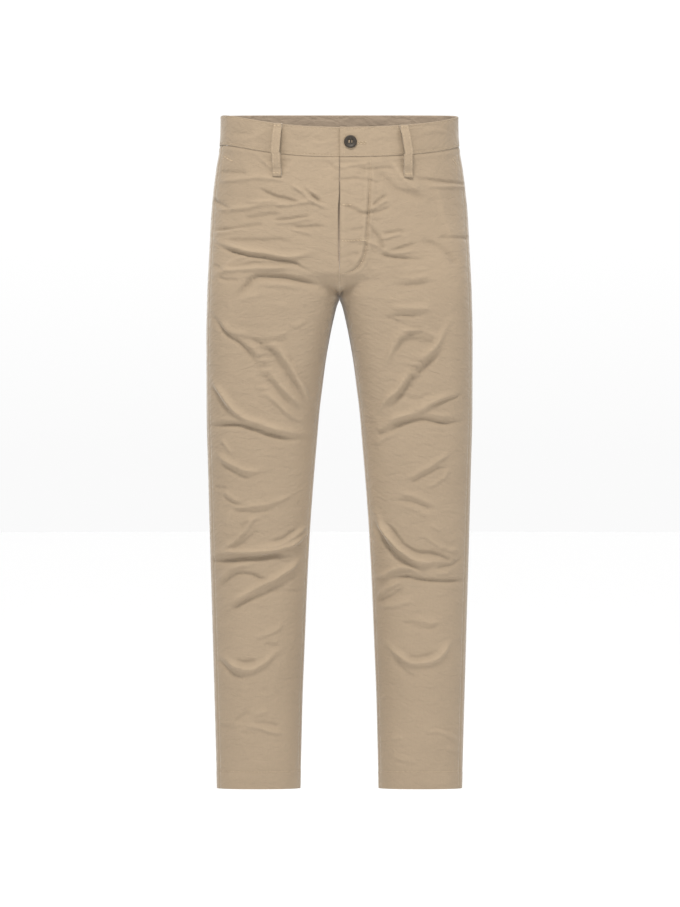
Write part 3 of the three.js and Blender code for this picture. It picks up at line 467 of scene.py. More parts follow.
LOW_FOLDS = [
    Fold(1.8, 6, [(-133, 806), (-118, 799), (-106, 795), (-94, 789), (-88, 777)]),
    Fold(-1.5, 5, [(-114, 811), (-92, 816)]),
    Fold(4.4, 7, [(-178, 829), (-167, 839), (-159, 845), (-149, 849), (-139, 850), (-129, 848), (-118, 842),
                  (-110, 836), (-102, 829), (-88, 820)]),
    Fold(-2.4, 5, [(-184, 834), (-175, 845), (-167, 853), (-157, 859), (-142, 862)]),
    Fold(-1.8, 6, [(-159, 836), (-143, 840), (-127, 836)]),
    Fold(1.0, 9, [(-152, 879), (-138, 879)]),
    Fold(-0.9, 5, [(-120, 883), (-108, 880)]),
    Fold(0.8, 5, [(-122, 892), (-110, 891)]),
    Fold(-1.4, 5, [(-159, 929), (-147, 920), (-137, 915)]),
    Fold(1.4, 5, [(-131, 921), (-108, 912)]),
    Fold(1.4, 5, [(-161, 937), (-149, 933)]),
    Fold(-1.0, 4, [(-181, 937), (-163, 940)]),
    Fold(2.2, 6, [(-143, 938), (-122, 939), (-110, 943), (-98, 946), (-84, 948)]),
    Fold(-1.3, 4, [(-135, 931), (-110, 932), (-90, 937)]),
    Fold(-1.0, 4, [(-153, 947), (-129, 948)]),
    Fold(1.4, 6, [(112, 774), (129, 777), (139, 780), (153, 777)]),
    Fold(-1.3, 5, [(90, 779), (106, 780), (122, 786), (137, 788), (153, 783)]),
    Fold(4.2, 7, [(71, 808), (82, 821), (90, 828), (100, 836), (110, 840), (122, 840), (137, 838), (149, 833),
                  (158, 824), (165, 813), (172, 805)]),
    Fold(-1.8, 6, [(102, 829), (116, 833), (131, 830), (147, 825)]),
    Fold(-1.5, 7, [(80, 832), (92, 845), (104, 857), (118, 863)]),
    Fold(2.0, 6, [(131, 947), (145, 944), (157, 946), (169, 952), (180, 959)]),
    Fold(-1.2, 5, [(135, 941), (153, 940), (171, 946)]),
    Fold(1.2, 6, [(78, 955), (96, 954)]),
    Fold(1.2, 7, [(78, 980), (94, 987), (118, 993)]),
    Fold(1.0, 7, [(162, 970), (180, 976)]),
]
FLY_GROOVE = [
    Fold(-1.7, 3.4, [(47, 70), (46.6, 100), (45, 140), (42.6, 180), (41, 203), (37, 223), (31, 235),
                     (22, 243), (12, 247), (3.5, 248.5)]),
    Fold(1.2, 4.2, [(51.5, 74), (51, 100), (49.5, 140), (47, 180), (45.5, 204), (41, 227), (34, 240),
                    (23, 248)]),
    Fold(1.3, 4.2, [(42, 74), (41.5, 100), (40, 140), (37.5, 180), (36, 200), (32, 219), (26, 230),
                    (18, 238)]),
    Fold(1.0, 6, [(6, 92), (6, 130), (6, 170), (6, 210), (7, 236)]),
    Fold(-0.8, 4, [(42, 92), (34, 96), (26, 95)]), Fold(-0.7, 4, [(41, 118), (31, 114), (22, 116)]),
    Fold(-0.8, 4, [(39, 134), (30, 138), (20, 136)]), Fold(-0.9, 4, [(38, 160), (28, 156), (14, 160)]),
    Fold(-0.8, 4, [(36, 178), (27, 182), (16, 180)]), Fold(-0.9, 4, [(35, 206), (25, 201), (12, 204)]),
    Fold(-0.8, 4, [(30, 222), (21, 217), (10, 221)]), Fold(-0.8, 4, [(20, 236), (13, 231), (6, 234)]),
    Fold(-0.8, 4, [(54, 112), (62, 106)]), Fold(-0.9, 4, [(52, 164), (60, 170)]),
    Fold(-0.8, 4, [(49, 210), (56, 219)]), Fold(-0.7, 4, [(42, 240), (50, 250)]),
]
SMALL_WRINKLE = 1.4
SMALL_LIFT, LARGE_LIFT, FRONT_LIFT, FLY_LIFT = 2.3, 1.3, 1.15, 1.35


def drawn_out(fold):
    """A small wrinkle run on past both its ends, and deepened: the table gives only its deepest stretch."""
    if abs(fold.height) >= SMALL_WRINKLE:
        return fold._replace(height=LARGE_LIFT * fold.height)
    (x0, d0), (x1, d1) = fold.points[:2]
    (x2, d2), (x3, d3) = fold.points[-2:]
    start = (x0 + 0.7 * (x0 - x1), d0 + 0.5 * (d0 - d1) - 1.5)
    end = (x3 + 0.7 * (x3 - x2), d3 + 0.5 * (d3 - d2) + 1.5)
    return Fold(SMALL_LIFT * fold.height, fold.spread, [start] + list(fold.points) + [end])


FRONT_FOLDS = [drawn_out(fold) for fold in HIP_FOLDS]
FRONT_FOLDS += THIGH_FOLDS + SHIN_FOLDS + LOW_FOLDS
FRONT_FOLDS = [fold._replace(height=fold.height * FRONT_LIFT) for fold in FRONT_FOLDS]


def fine_path(points):
    """A smooth line through the points, six short steps to each span."""
    points = np.array(points, float)
    before = np.vstack([points[:1], points[:-2]]) if len(points) > 2 else points[:1]
    after = np.vstack([points[2:], points[-1:]]) if len(points) > 2 else points[-1:]
    p0, p1, p2, p3 = before[:, None], points[:-1, None], points[1:, None], after[:, None]
    t = (np.arange(6) / 6)[None, :, None]
    path = 0.5 * (2 * p1 + (p2 - p0) * t + (2 * p0 - 5 * p1 + 4 * p2 - p3) * t ** 2
                  + (3 * p1 - p0 - 3 * p2 + p3) * t ** 3)
    return np.vstack([path.reshape(-1, 2), points[-1:]])


def fold_height(fold, across, drop):
    """One soft ridge or crease. Its lower side is steeper on a ridge, its upper side on a crease."""
    path = fine_path(fold.points)
    margin = 3.2 * fold.spread
    low, high = path.min(axis=0) - margin, path.max(axis=0) + margin
    near = (across > low[0]) & (across < high[0]) & (drop > low[1]) & (drop < high[1])
    out = np.zeros(across.shape)
    if not near.any():
        return out
    px, py = across[near][:, None], drop[near][:, None]
    ax, ay = path[:-1, 0][None], path[:-1, 1][None]
    dx, dy = np.diff(path[:, 0])[None], np.diff(path[:, 1])[None]
    t = np.clip(((px - ax) * dx + (py - ay) * dy) / (dx * dx + dy * dy), 0, 1)
    gap = np.hypot(px - ax - t * dx, py - ay - t * dy)
    best = gap.argmin(axis=1)
    rows = np.arange(len(best))
    gap = gap[rows, best]
    along = (best + t[rows, best]) / (len(path) - 1)
    below = (py[:, 0] - ay[0, best] - t[rows, best] * dy[0, best]) / (gap + 0.5)
    steep = 0.5 + 0.5 * below if fold.height > 0 else 0.5 - 0.5 * below
    spread = np.maximum(2.3, fold.spread * (0.86 - 0.4 * steep))
    ends = step(0, 0.22, along) * step(0, 0.22, 1 - along)
    out[near] = fold.height * (0.15 + 0.85 * ends) * np.exp(-(gap / spread) ** 2)
    return out


def on_plane(points, front=True):
    """Where points show on the upright plane, seen from the camera or from the same place behind."""
    scale = (EYE_AWAY - PLANE_AHEAD) / (EYE_AWAY + (points[..., 1] if front else -points[..., 1]))
    return points[..., 0] * scale, EYE_DROP + (-points[..., 2] - EYE_DROP) * scale


def folds_at(points, folds, front=True):
    across, drop = on_plane(points, front)
    return sum(fold_height(fold, across, drop) for fold in folds)


def edge_distance(grid):
    """Millimetres along each row from its first and from its last point."""
    walked = np.linalg.norm(np.diff(grid, axis=1), axis=2).cumsum(axis=1)
    walked = np.concatenate([np.zeros((len(grid), 1)), walked], axis=1)
    return walked, walked[:, -1:] - walked


def seam_turns(side, side_drop, columns, span):
    """The turns of each row's points, held half a seam gap off the seams on both sides."""
    start, end = span(side_drop)
    way = np.sign(end - start)
    ends = []
    for turn, sign in ((start, 1), (end, -1)):
        pace = np.linalg.norm(body_points(side, side_drop, turn + 0.001)
                              - body_points(side, side_drop, turn - 0.001), axis=-1) / 0.002
        at_rise = (side_drop < CROTCH_DROP) & (np.abs(np.abs(turn) - 1) < 1e-6)
        ends.append(turn + np.where(at_rise, 0, sign * way * HALF_SEAM / np.maximum(pace, 1e-6)))
    share = np.linspace(0, 1, columns)[None]
    share = share + 0.28 * share * (1 - share)
    return ends[0][:, None] * (1 - share) + ends[1][:, None] * share


def grid_object(name, outer, inner, materials, flip, painted_light=None, inside=1):
    """A closed thin shell from two matching grids of points in millimetres, with its own flat map."""
    rows, cols = outer.shape[:2]
    ring = np.arange(rows * cols).reshape(rows, cols)
    back = ring + rows * cols

    def quads(a, b, c, d):
        return np.stack([np.ravel(v) for v in ((a, d, c, b) if flip else (a, b, c, d))], axis=1)

    faces = [
        quads(ring[:-1, :-1], ring[:-1, 1:], ring[1:, 1:], ring[1:, :-1]),
        quads(back[:-1, :-1], back[1:, :-1], back[1:, 1:], back[:-1, 1:]),
        quads(ring[:-1, 0], ring[1:, 0], back[1:, 0], back[:-1, 0]),
        quads(ring[:-1, -1], back[:-1, -1], back[1:, -1], ring[1:, -1]),
        quads(ring[0, :-1], back[0, :-1], back[0, 1:], ring[0, 1:]),
        quads(ring[-1, :-1], ring[-1, 1:], back[-1, 1:], back[-1, :-1]),
    ]
    loops = np.concatenate(faces)
    mesh = bpy.data.meshes.new(name)
    mesh.vertices.add(2 * rows * cols)
    corners = np.concatenate([outer.reshape(-1, 3), inner.reshape(-1, 3)]) / 1000
    mesh.vertices.foreach_set("co", corners.ravel())
    mesh.loops.add(loops.size)
    mesh.loops.foreach_set("vertex_index", loops.ravel())
    mesh.polygons.add(len(loops))
    mesh.polygons.foreach_set("loop_start", np.arange(0, loops.size, 4))
    mesh.polygons.foreach_set("loop_total", np.full(len(loops), 4))
    slots = np.zeros(len(loops), int)
    slots[len(faces[0]):len(faces[0]) + len(faces[1])] = inside
    mesh.polygons.foreach_set("material_index", slots)
    mesh.update(calc_edges=True)
    mesh.validate()
    middle = cols // 2
    walked = edge_distance(outer)[0]
    across = walked - walked[:, middle:middle + 1]
    down = np.linalg.norm(np.diff(outer[:, middle], axis=0), axis=1).cumsum()
    down = np.concatenate([[0], down])[:, None] + 0 * across
    flat = np.stack([across, -down], axis=2).reshape(-1, 2) / 1000
    flat = np.concatenate([flat, flat])
    layer = mesh.uv_layers.new(name="cloth_map")
    layer.data.foreach_set("uv", flat[loops.ravel()].ravel())
    # Painted light and shade for the cloth's colour, one value for each outer point: the fold height and the
    # inner-thigh lift.
    painted_lights = np.zeros(2 * rows * cols)
    if painted_light is not None:
        painted_lights[:rows * cols] = painted_light.ravel()
    mesh.attributes.new("painted_light", "FLOAT", "POINT").data.foreach_set("value", painted_lights)
    for material in materials:
        mesh.materials.append(material)
    mesh.shade_smooth()
    mesh.set_sharp_from_angle(angle=1.1)
    return put_in(name, mesh)


RIB_PITCH = 1.2


def twill_material(name, colour, wale_bump, sheen):
    """Cotton twill: steep fine ribs to the upper right, a cloudy wash and slight slubs in the yarn. A painted
    light attribute makes the crests of the folds and the inner thighs paler, as painted highlight, and the
    creases darker, as painted shade. Real ribs are 0.5 mm apart, too fine for the picture, so they are drawn
    1.2 mm apart and faint."""
    material, surface = new_look(name, {
        "Roughness": 0.88, "Specular IOR Level": 0.22, "Sheen Weight": sheen, "Sheen Roughness": 0.35})
    place = shade("cloth_map", "ShaderNodeUVMap", uv_map="cloth_map").outputs["UV"]
    turned = shade("rib_slope", "ShaderNodeMapping", {"Rotation": (0, 0, 1.06)}, {"Vector": place})
    ribs = shade("ribs", "ShaderNodeTexWave",
                 {"Scale": 1000 / RIB_PITCH / 20, "Distortion": 0.6, "Detail": 1.0},
                 {"Vector": turned.outputs["Vector"]}, bands_direction="X")
    stretched = shade("slub_stretch", "ShaderNodeMapping", {"Scale": (1, 0.25, 1)}, {"Vector": place})
    slubs = shade("slubs", "ShaderNodeTexNoise", {"Scale": 420, "Detail": 3},
                  {"Vector": stretched.outputs[0]})
    cloud = shade("wash_cloud", "ShaderNodeTexNoise", {"Scale": 14, "Detail": 5, "Roughness": 0.6},
                  {"Vector": place})
    painted_light = shade("painted_light", "ShaderNodeAttribute", attribute_name="painted_light").outputs["Fac"]
    tone = shade("tone", "ShaderNodeMath", {1: 0.16, 2: 0.92}, {0: cloud.outputs["Fac"]},
                 operation="MULTIPLY_ADD")
    yarn = shade("yarn_tone", "ShaderNodeMath", {1: 0.10, 2: -0.05}, {0: slubs.outputs["Fac"]},
                 operation="MULTIPLY_ADD")
    # Painted light: the colour turns paler on fold crests and inner thighs (painted highlight) and darker in
    # creases (painted shade).
    painted_tone = shade("painted_light_tone", "ShaderNodeMath", {1: 0.022, 2: 0.0}, {0: painted_light}, operation="MULTIPLY_ADD")
    both = shade("cloth_tone", "ShaderNodeMath", None, {0: tone.outputs[0], 1: yarn.outputs[0]},
                 operation="ADD")
    whole = shade("whole_tone", "ShaderNodeMath", None, {0: both.outputs[0], 1: painted_tone.outputs[0]},
                  operation="ADD")
    tint = shade("tint", "ShaderNodeVectorMath", {0: linear(colour)[:3]}, {"Scale": whole.outputs[0]},
                 operation="SCALE")
    rib_bump = shade("rib_bump", "ShaderNodeBump", {"Strength": wale_bump, "Distance": 0.0003},
                     {"Height": ribs.outputs["Fac"]})
    level = shade("level_wrinkles", "ShaderNodeMapping", {"Scale": (0.5, 1, 1)}, {"Vector": place})
    soft = shade("crumple", "ShaderNodeTexNoise",
                 {"Scale": 74, "Detail": 4, "Roughness": 0.55, "Distortion": 0.5},
                 {"Vector": level.outputs["Vector"]})
    crumple = shade("crumple_bump", "ShaderNodeBump", {"Strength": 0.8, "Distance": 0.003},
                    {"Height": soft.outputs["Fac"], "Normal": rib_bump.outputs["Normal"]})
    open_tree.links.new(tint.outputs["Vector"], surface["Base Color"])
    open_tree.links.new(crumple.outputs["Normal"], surface["Normal"])
    return material


cotton_twill = twill_material("cotton twill", "8b7c69", 0.35, 0.34)
twill_inside = twill_material("cotton twill wrong side", "978878", 0.25, 0.2)


def centre_edge(side, side_drop, turn):
    """Least distance of a point from the centre plane: the fly lap's edge, or half a seam gap."""
    drop = true_drop(side, side_drop, np.ones_like(turn))
    if side > 0:
        edge = HALF_SEAM + (FLY_EDGE_X - HALF_SEAM) * (1 - step(FLY_END_DROP - 14, FLY_END_DROP, drop))
    else:
        hung_open = 0.35 * step(60, 100, drop) + 1.6 * step(126, 156, drop)
        edge = (HALF_SEAM + 0.45 * (1 - step(FLY_END_DROP - 4, FLY_END_DROP + 6, drop))
                + hung_open * (1 - step(218, FLY_END_DROP, drop)))
    return np.where((turn < 0) | (side_drop > CROTCH_DROP), HALF_SEAM, edge)


def own_side(grid, side, least):
    grid = grid.copy()
    grid[..., 0] = side * np.maximum(side * grid[..., 0], least)
    return grid


def cloth_panel(name, side, rows, columns, span, folds, front):
    """One leg panel with its folds, its rolled seam edges and its hem turned up inside."""
    side_drop = np.concatenate([
        np.linspace(BAND_HEIGHT + 0.3, HEM_FOLD_DROP, rows - HEM_ROWS),
        HEM_FOLD_DROP + np.linspace(0.8, HEM_TURN, HEM_ROWS)])
    turn = seam_turns(side, side_drop, columns, span)
    drops = np.repeat(side_drop[:, None], columns, axis=1)
    plain = body_points(side, drops, turn)
    normal = body_normals(side, drops, turn)
    toward_front = np.where(turn < -1, True, turn >= 0)
    relief = np.where(toward_front, folds_at(plain, FRONT_FOLDS), folds_at(plain, folds, front))
    if front and side > 0:
        relief += FLY_LIFT * folds_at(plain, FLY_GROOVE)
    above = np.clip((CROTCH_DROP - drops) / RISE, 0, 1.1)
    calm = step(0.02, 0.15, np.abs(turn))
    calm *= np.maximum(step(0.02, 0.14, np.abs(1 - np.abs(turn))), step(0.1, 0.35, above))
    calm *= step(46, 66, drops) * (1 - step(990, 1008, drops))
    relief = relief * calm
    first, last = edge_distance(plain)
    rolled = EDGE_ROLL * np.exp(-(last / 1.8) ** 2) * (1 - np.exp(-((drops - CROTCH_DROP) / 18) ** 2))
    if front:
        rolled *= true_drop(side, drops, 1.0) > FLY_END_DROP
    roll = EDGE_ROLL * np.exp(-(first / 1.8) ** 2) + rolled
    hem_line = np.exp(-((drops - HEM_FOLD_DROP) / 2.2) ** 2)
    arc = first if side > 0 else last
    pucker = 0.35 * hem_line * (0.6 + 0.4 * np.sin(arc * 2 * pi / 11 + 1.3 * np.sin(arc / 17)))
    swell = 0.35 * step(HEM_FOLD_DROP, HEM_FOLD_DROP + 5, drops)
    height = relief - roll - pucker + swell - 0.5 * np.exp(-((drops - BAND_HEIGHT) / 2.0) ** 2)
    height += 0.7 * np.exp(-((drops - BAND_HEIGHT - 6) / 3.4) ** 2)
    wall = np.where(drops > HEM_FOLD_DROP + 0.4, HEM_WALL, CLOTH_WALL)
    least = centre_edge(side, drops, turn)
    outer = own_side(plain + normal * height[..., None], side, least)
    inner = own_side(plain + normal * (np.minimum(height, relief) - wall)[..., None], side, least)
    inside_out = (side > 0) == (span(np.array([600.0]))[1][0] > span(np.array([600.0]))[0][0])
    # Painted highlight: beside the inseam, from the crotch to below the knee, the cloth's colour is made
    # paler where the legs hold it in shade.
    inner_thigh_light = INNER_THIGH_PAINTED_LIGHT * np.exp(-((1 - np.abs(turn)) / 0.2) ** 2)
    inner_thigh_light *= step(246, 276, drops) * (1 - step(600, 900, drops))
    made = grid_object(name, outer, inner, [cotton_twill, twill_inside], not inside_out, relief + inner_thigh_light)
    return made, outer, side_drop


def front_span(drop):
    return side_seam_at(drop), inseam_at(drop)


def stands_for(piece, node):
    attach(piece, "root")
    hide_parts(node)


FRONT_ROWS, FRONT_COLUMNS = 540, 88
left_front, left_grid, panel_drops = cloth_panel("leg_front_left", 1, FRONT_ROWS, FRONT_COLUMNS, front_span,
                                                 FRONT_FOLDS, True)
right_front, right_grid, _ = cloth_panel("leg_front_right", -1, FRONT_ROWS, FRONT_COLUMNS, front_span,
                                         FRONT_FOLDS, True)
for piece, node in ((left_front, "front_left"), (right_front, "front_right")):
    stands_for(piece, node)

# Leg backs
# The two backs, of the same twill, each from the waist seam to the hem and joined to one another by the
# seat seam. They are hidden in the picture: their folds follow on from the fronts' ones and are quieter.
BACK_FOLDS = [
    Fold(3.4, 11, [(-150, 330), (-100, 318), (-50, 296), (-22, 280)]),
    Fold(3.4, 11, [(150, 338), (104, 322), (56, 300), (24, 282)]),
    Fold(-2.8, 8, [(-140, 356), (-96, 342), (-52, 320)]),
    Fold(-2.8, 8, [(142, 362), (98, 346), (54, 324)]),
    Fold(3.0, 10, [(-180, 246), (-130, 238), (-84, 244)]),
    Fold(3.0, 10, [(176, 252), (132, 244), (88, 250)]),
    Fold(-1.8, 6, [(-172, 262), (-128, 256), (-90, 262)]),
    Fold(-1.8, 6, [(168, 270), (130, 262), (92, 268)]),
    Fold(3.8, 9, [(-182, 472), (-130, 488), (-70, 478)]),
    Fold(3.8, 9, [(182, 462), (132, 480), (72, 474)]),
    Fold(-2.4, 6, [(-176, 490), (-126, 504), (-76, 492)]),
    Fold(-2.4, 6, [(176, 480), (130, 498), (78, 488)]),
    Fold(4.2, 9, [(-180, 560), (-130, 580), (-72, 566)]),
    Fold(4.2, 9, [(180, 570), (134, 588), (74, 570)]),
    Fold(-3.4, 7, [(-170, 592), (-126, 604), (-80, 594)]),
    Fold(-3.4, 7, [(172, 600), (130, 610), (82, 600)]),
    Fold(4.0, 9, [(-176, 640), (-120, 652), (-66, 634)]),
    Fold(4.0, 9, [(176, 650), (124, 662), (70, 644)]),
    Fold(-2.2, 6, [(-168, 660), (-118, 670), (-74, 654)]),
    Fold(-2.2, 6, [(170, 670), (122, 680), (76, 664)]),
    Fold(3.4, 9, [(-170, 742), (-128, 722), (-80, 706)]),
    Fold(3.4, 9, [(168, 750), (130, 730), (84, 712)]),
    Fold(3.2, 9, [(-170, 846), (-124, 858), (-80, 842)]),
    Fold(3.2, 9, [(170, 838), (126, 852), (82, 838)]),
]


def mirrored(fold):
    return Fold(0.7 * fold.height, 1.2 * fold.spread, [(-x, drop + 14) for x, drop in fold.points])


BACK_FOLDS += [mirrored(fold) for fold in FRONT_FOLDS if abs(fold.height) < 2.3]


def back_span(drop):
    return side_seam_at(drop), inseam_at(drop) - 2


BACK_ROWS, BACK_COLUMNS = 440, 96
left_back, left_back_grid, _ = cloth_panel("leg_back_left", 1, BACK_ROWS, BACK_COLUMNS, back_span, BACK_FOLDS,
                                           False)
right_back, right_back_grid, back_drops = cloth_panel("leg_back_right", -1, BACK_ROWS, BACK_COLUMNS,
                                                      back_span, BACK_FOLDS, False)
for piece, node in ((left_back, "back_left"), (right_back, "back_right")):
    stands_for(piece, node)

# Waistband
# A doubled band of the same twill in two lengths, joined at the centre back and edge-stitched all round.
# The left end is square and laps over the right one, which thins and runs on behind it to the button.
BAND_THICK = 2.4
BAND_PROUD = 0.8
UNDERLAP_X = 38.0
LEFT_COLUMNS, RIGHT_COLUMNS = 300, 280
BAND_FOLDS = [
    Fold(-0.9, 3, [(-40, 44), (-29, 45), (-19, 46)]),
    Fold(0.9, 3, [(-40, 48), (-31, 50), (-2, 46)]),
    Fold(-0.8, 4, [(-162, 35), (-131, 35)]),
    Fold(0.9, 5, [(-147, 45), (-127, 42), (-112, 29)]),
    Fold(-0.7, 4, [(-72, 40), (-60, 44), (-46, 43)]),
    Fold(0.7, 5, [(46, 44), (60, 40), (76, 42)]),
    Fold(-0.6, 4, [(118, 24), (140, 22), (158, 25)]),
    Fold(0.6, 5, [(122, 34), (146, 31), (166, 34)]),
]


def band_points(side, turn, depth):
    drop = waist_edge(side, turn) + depth
    outer = outer_at(drop)
    mid = mid_at(drop)
    reach = np.where(turn >= 0, mid - front_at(drop), mid - back_at(drop))
    x = outer * round_side(np.cos(pi / 2 * turn), TORSO_POWER)
    return np.stack([side * x, mid - reach * round_depth(x / outer, TORSO_POWER), -drop], axis=-1)


def band_normals(side, turn, depth):
    low, high = np.maximum(-1, turn - 0.004), np.minimum(1, turn + 0.004)
    around = band_points(side, high, depth) - band_points(side, low, depth)
    down = band_points(side, turn, depth + 1) - band_points(side, turn, depth - 1)
    normal = np.cross(around, down)
    return side * normal / np.linalg.norm(normal, axis=-1, keepdims=True)


def turn_at_x(points, across, front):
    """The turn where a ring comes to a distance from the centre plane, by halving."""
    near, far = 0.0, 1.0 if front else -1.0
    for _ in range(40):
        middle = (near + far) / 2
        if abs(points(middle)[0]) > across:
            near = middle
        else:
            far = middle
    return (near + far) / 2


def band_turn(side, across, front):
    return turn_at_x(lambda turn: band_points(side, np.float64(turn), BAND_HEIGHT / 2), across, front)


BAND_DEPTHS = np.array([0, 0.35, 0.9, 1.8, 3.0, 4.2, 6, 9, 12, 15, 18, 21, 24, 27, 30, 33, 36, 39, 41, 42.4,
                        43.6, 44.6, 45.3, 45.75, 46])


def band_grids(sides, turns, proud):
    """Outer and inner face of a stretch of band, rounded over at both edges, with stitched-in hollows."""
    depth = np.repeat(BAND_DEPTHS[:, None], len(turns), axis=1)
    outer, inner = np.zeros(depth.shape + (3,)), np.zeros(depth.shape + (3,))
    from_edge = np.minimum(depth, BAND_HEIGHT - depth)
    edge = 1.1 * (1 - np.sqrt(1 - (1 - np.clip(from_edge / 1.2, 0, 1)) ** 2))
    steps = np.linalg.norm(np.diff(band_points(1, turns, 20.0 + 0 * turns), axis=0), axis=1)
    walk = np.concatenate([[0], steps.cumsum()])
    quilt = 0.5 + 0.5 * np.sin(2 * pi * walk / 13 + 1.7 * np.sin(walk / 29))[None]
    stitched = np.exp(-((from_edge - 3.0) / 1.3) ** 2) * (0.22 + 0.2 * quilt)
    for side in (-1, 1):
        column = sides == side
        turn = np.repeat(turns[None], len(BAND_DEPTHS), axis=0)
        points = band_points(side, turn, depth)
        normal = band_normals(side, turn, depth)
        relief = np.where(turn > 0, 1.7 * folds_at(points, BAND_FOLDS), 0)
        relief += 0.25 * np.sin(walk / 21 + depth / 19)
        lift = (proud[None] - edge - stitched + relief * step(2, 8, from_edge))[..., None]
        outer[:, column] = (points + normal * lift)[:, column]
        inner[:, column] = (points + normal * (proud[None] - BAND_THICK + edge)[..., None])[:, column]
    return outer, inner


fly_turn = band_turn(1, FLY_EDGE_X, True)
left_turns = fly_turn + (-1 - fly_turn) * np.linspace(0, 1, LEFT_COLUMNS)
outer, inner = band_grids(np.ones(LEFT_COLUMNS), left_turns, np.full(LEFT_COLUMNS, BAND_PROUD))
for grid in (outer, inner):
    grid[:, 0, 0] = FLY_EDGE_X
    grid[:, -1, 0] = 0.01
left_band = grid_object("waistband_left", outer, inner, [cotton_twill, twill_inside], True)
left_band_outer = outer

sink_turn = band_turn(-1, 24, True)
run_turns = -1 + (sink_turn + 1) * np.linspace(0, 1, RIGHT_COLUMNS)
sink_x = np.array([20, 17, 13, 10, 7, 4, 1.5])
sink_turns = np.array([band_turn(-1, x, True) for x in sink_x])
under_x = np.array([2, 8, 14, 20, 26, 32, UNDERLAP_X])
under_turns = np.array([band_turn(1, x, True) for x in under_x])
sunk = BAND_PROUD - BAND_THICK - 0.5
proud = np.concatenate([
    np.full(RIGHT_COLUMNS, BAND_PROUD), BAND_PROUD + (sunk - BAND_PROUD) * (1 - step(1.5, 24, sink_x)),
    np.full(len(under_x), sunk)])
sides = np.concatenate([-np.ones(RIGHT_COLUMNS + len(sink_x)), np.ones(len(under_x))])
right_turns = np.concatenate([run_turns, sink_turns, under_turns])
outer, inner = band_grids(sides, right_turns, proud)
for grid in (outer, inner):
    grid[:, 0, 0] = -0.01
right_band = grid_object("waistband_right", outer, inner, [cotton_twill, twill_inside], True)
right_band_outer = outer
left_band.name, right_band.name = "band_left", "band_right"
for piece, node in ((left_band, "waistband_left"), (right_band, "waistband_right")):
    stands_for(piece, node)

# Fly strip
# A strip of twill behind the opening, hung from the right front and its band and reaching behind the left
# front. Only a thread of it shows, in the gap where the right front hangs a little open.
def body_turn(side, side_drop, across, front):
    return turn_at_x(lambda turn: body_points(side, np.float64(side_drop), np.float64(turn)), across, front)


STRIP_FROM_X, STRIP_END_DROP = -14, 209
STRIP_ROWS, STRIP_COLUMNS = 84, 36
strip_drops = np.linspace(BAND_HEIGHT + 0.3, STRIP_END_DROP, STRIP_ROWS)
strip_x = np.linspace(STRIP_FROM_X, UNDERLAP_X, STRIP_COLUMNS)
outer, inner = np.zeros((STRIP_ROWS, STRIP_COLUMNS, 3)), np.zeros((STRIP_ROWS, STRIP_COLUMNS, 3))
for column, x in enumerate(strip_x):
    side = -1 if x < 0 else 1
    turns = np.array([body_turn(side, drop, abs(x), True) for drop in strip_drops[::6]])
    turns = np.interp(strip_drops, strip_drops[::6], turns)
    points = body_points(side, strip_drops, turns)
    normals = body_normals(side, strip_drops, np.minimum(turns, 0.997))
    relief = 0.45 * folds_at(points, HIP_FOLDS) * step(46, 66, strip_drops)
    droop = 4.0 * np.sin(pi * np.clip((strip_drops - 60) / 150, 0, 1)) ** 2
    outer[:, column] = points + normals * (relief - CLOTH_WALL - 0.8 - droop)[:, None]
    inner[:, column] = points + normals * (relief - CLOTH_WALL - 2.4 - droop)[:, None]
fly_strip = grid_object("fly_strip", outer, inner, [twill_inside, twill_inside], True)
stands_for(fly_strip, "fly_underlap")

# Belt loops
# Five narrow straps of twill, folded in three, edge-stitched and folded under at both ends, where a bar of
# close stitches holds them: at the band's top edge and a little below its lower one.
LOOP_LENGTH = 81.0
LOOP_WIDTH = 13.5
Station = namedtuple("Station", "drop clear thick")
LOOP_PROFILE = [
    Station(0.4, 1.2, 3.2), Station(3, 1.2, 3.4), Station(7, 1.8, 3.2), Station(11, 5.2, 1.8),
    Station(17, 7.8, 1.8), Station(26, 8.8, 1.8), Station(42, 8.8, 1.8), Station(54, 8.2, 1.8),
    Station(64.5, 6.2, 1.8),
    Station(72, 1.8, 3.2), Station(76.5, 0.9, 3.6), Station(81, 0.6, 3.4),
]
clear_at = curve_of(LOOP_PROFILE, "clear")
thick_at = curve_of(LOOP_PROFILE, "thick")
Loop = namedtuple("Loop", "name node side top bottom front")
LOOPS = [
    Loop("loop_front_left", "belt_loop_front_left", 1, 98, 104, True),
    Loop("loop_front_right", "belt_loop_front_right", -1, 93.5, 94, True),
    Loop("loop_back_left", "belt_loop_back_left", 1, 84, 85, False),
    Loop("loop_back_right", "belt_loop_back_right", -1, 84, 85, False),
    Loop("loop_back_centre", "belt_loop_back_centre", 1, 0, 0, False),
]


def cloth_behind(side, across, depth, front):
    """Point and outward direction of the band, or of the panel below it, behind a loop."""
    turn = -1.0 if across == 0 else band_turn(side, across, front)
    if depth <= BAND_HEIGHT:
        return band_points(side, np.float64(turn), depth), band_normals(side, np.float64(turn), depth)
    pace = RISE / (RISE - waist_edge(side, np.float64(turn)))
    side_drop = BAND_HEIGHT + (depth - BAND_HEIGHT) * pace
    turn = -1.0 if across == 0 else body_turn(side, side_drop, across, front)
    return body_points(side, np.float64(side_drop), np.float64(turn)), body_normals(
        side, np.float64(side_drop), np.float64(turn))


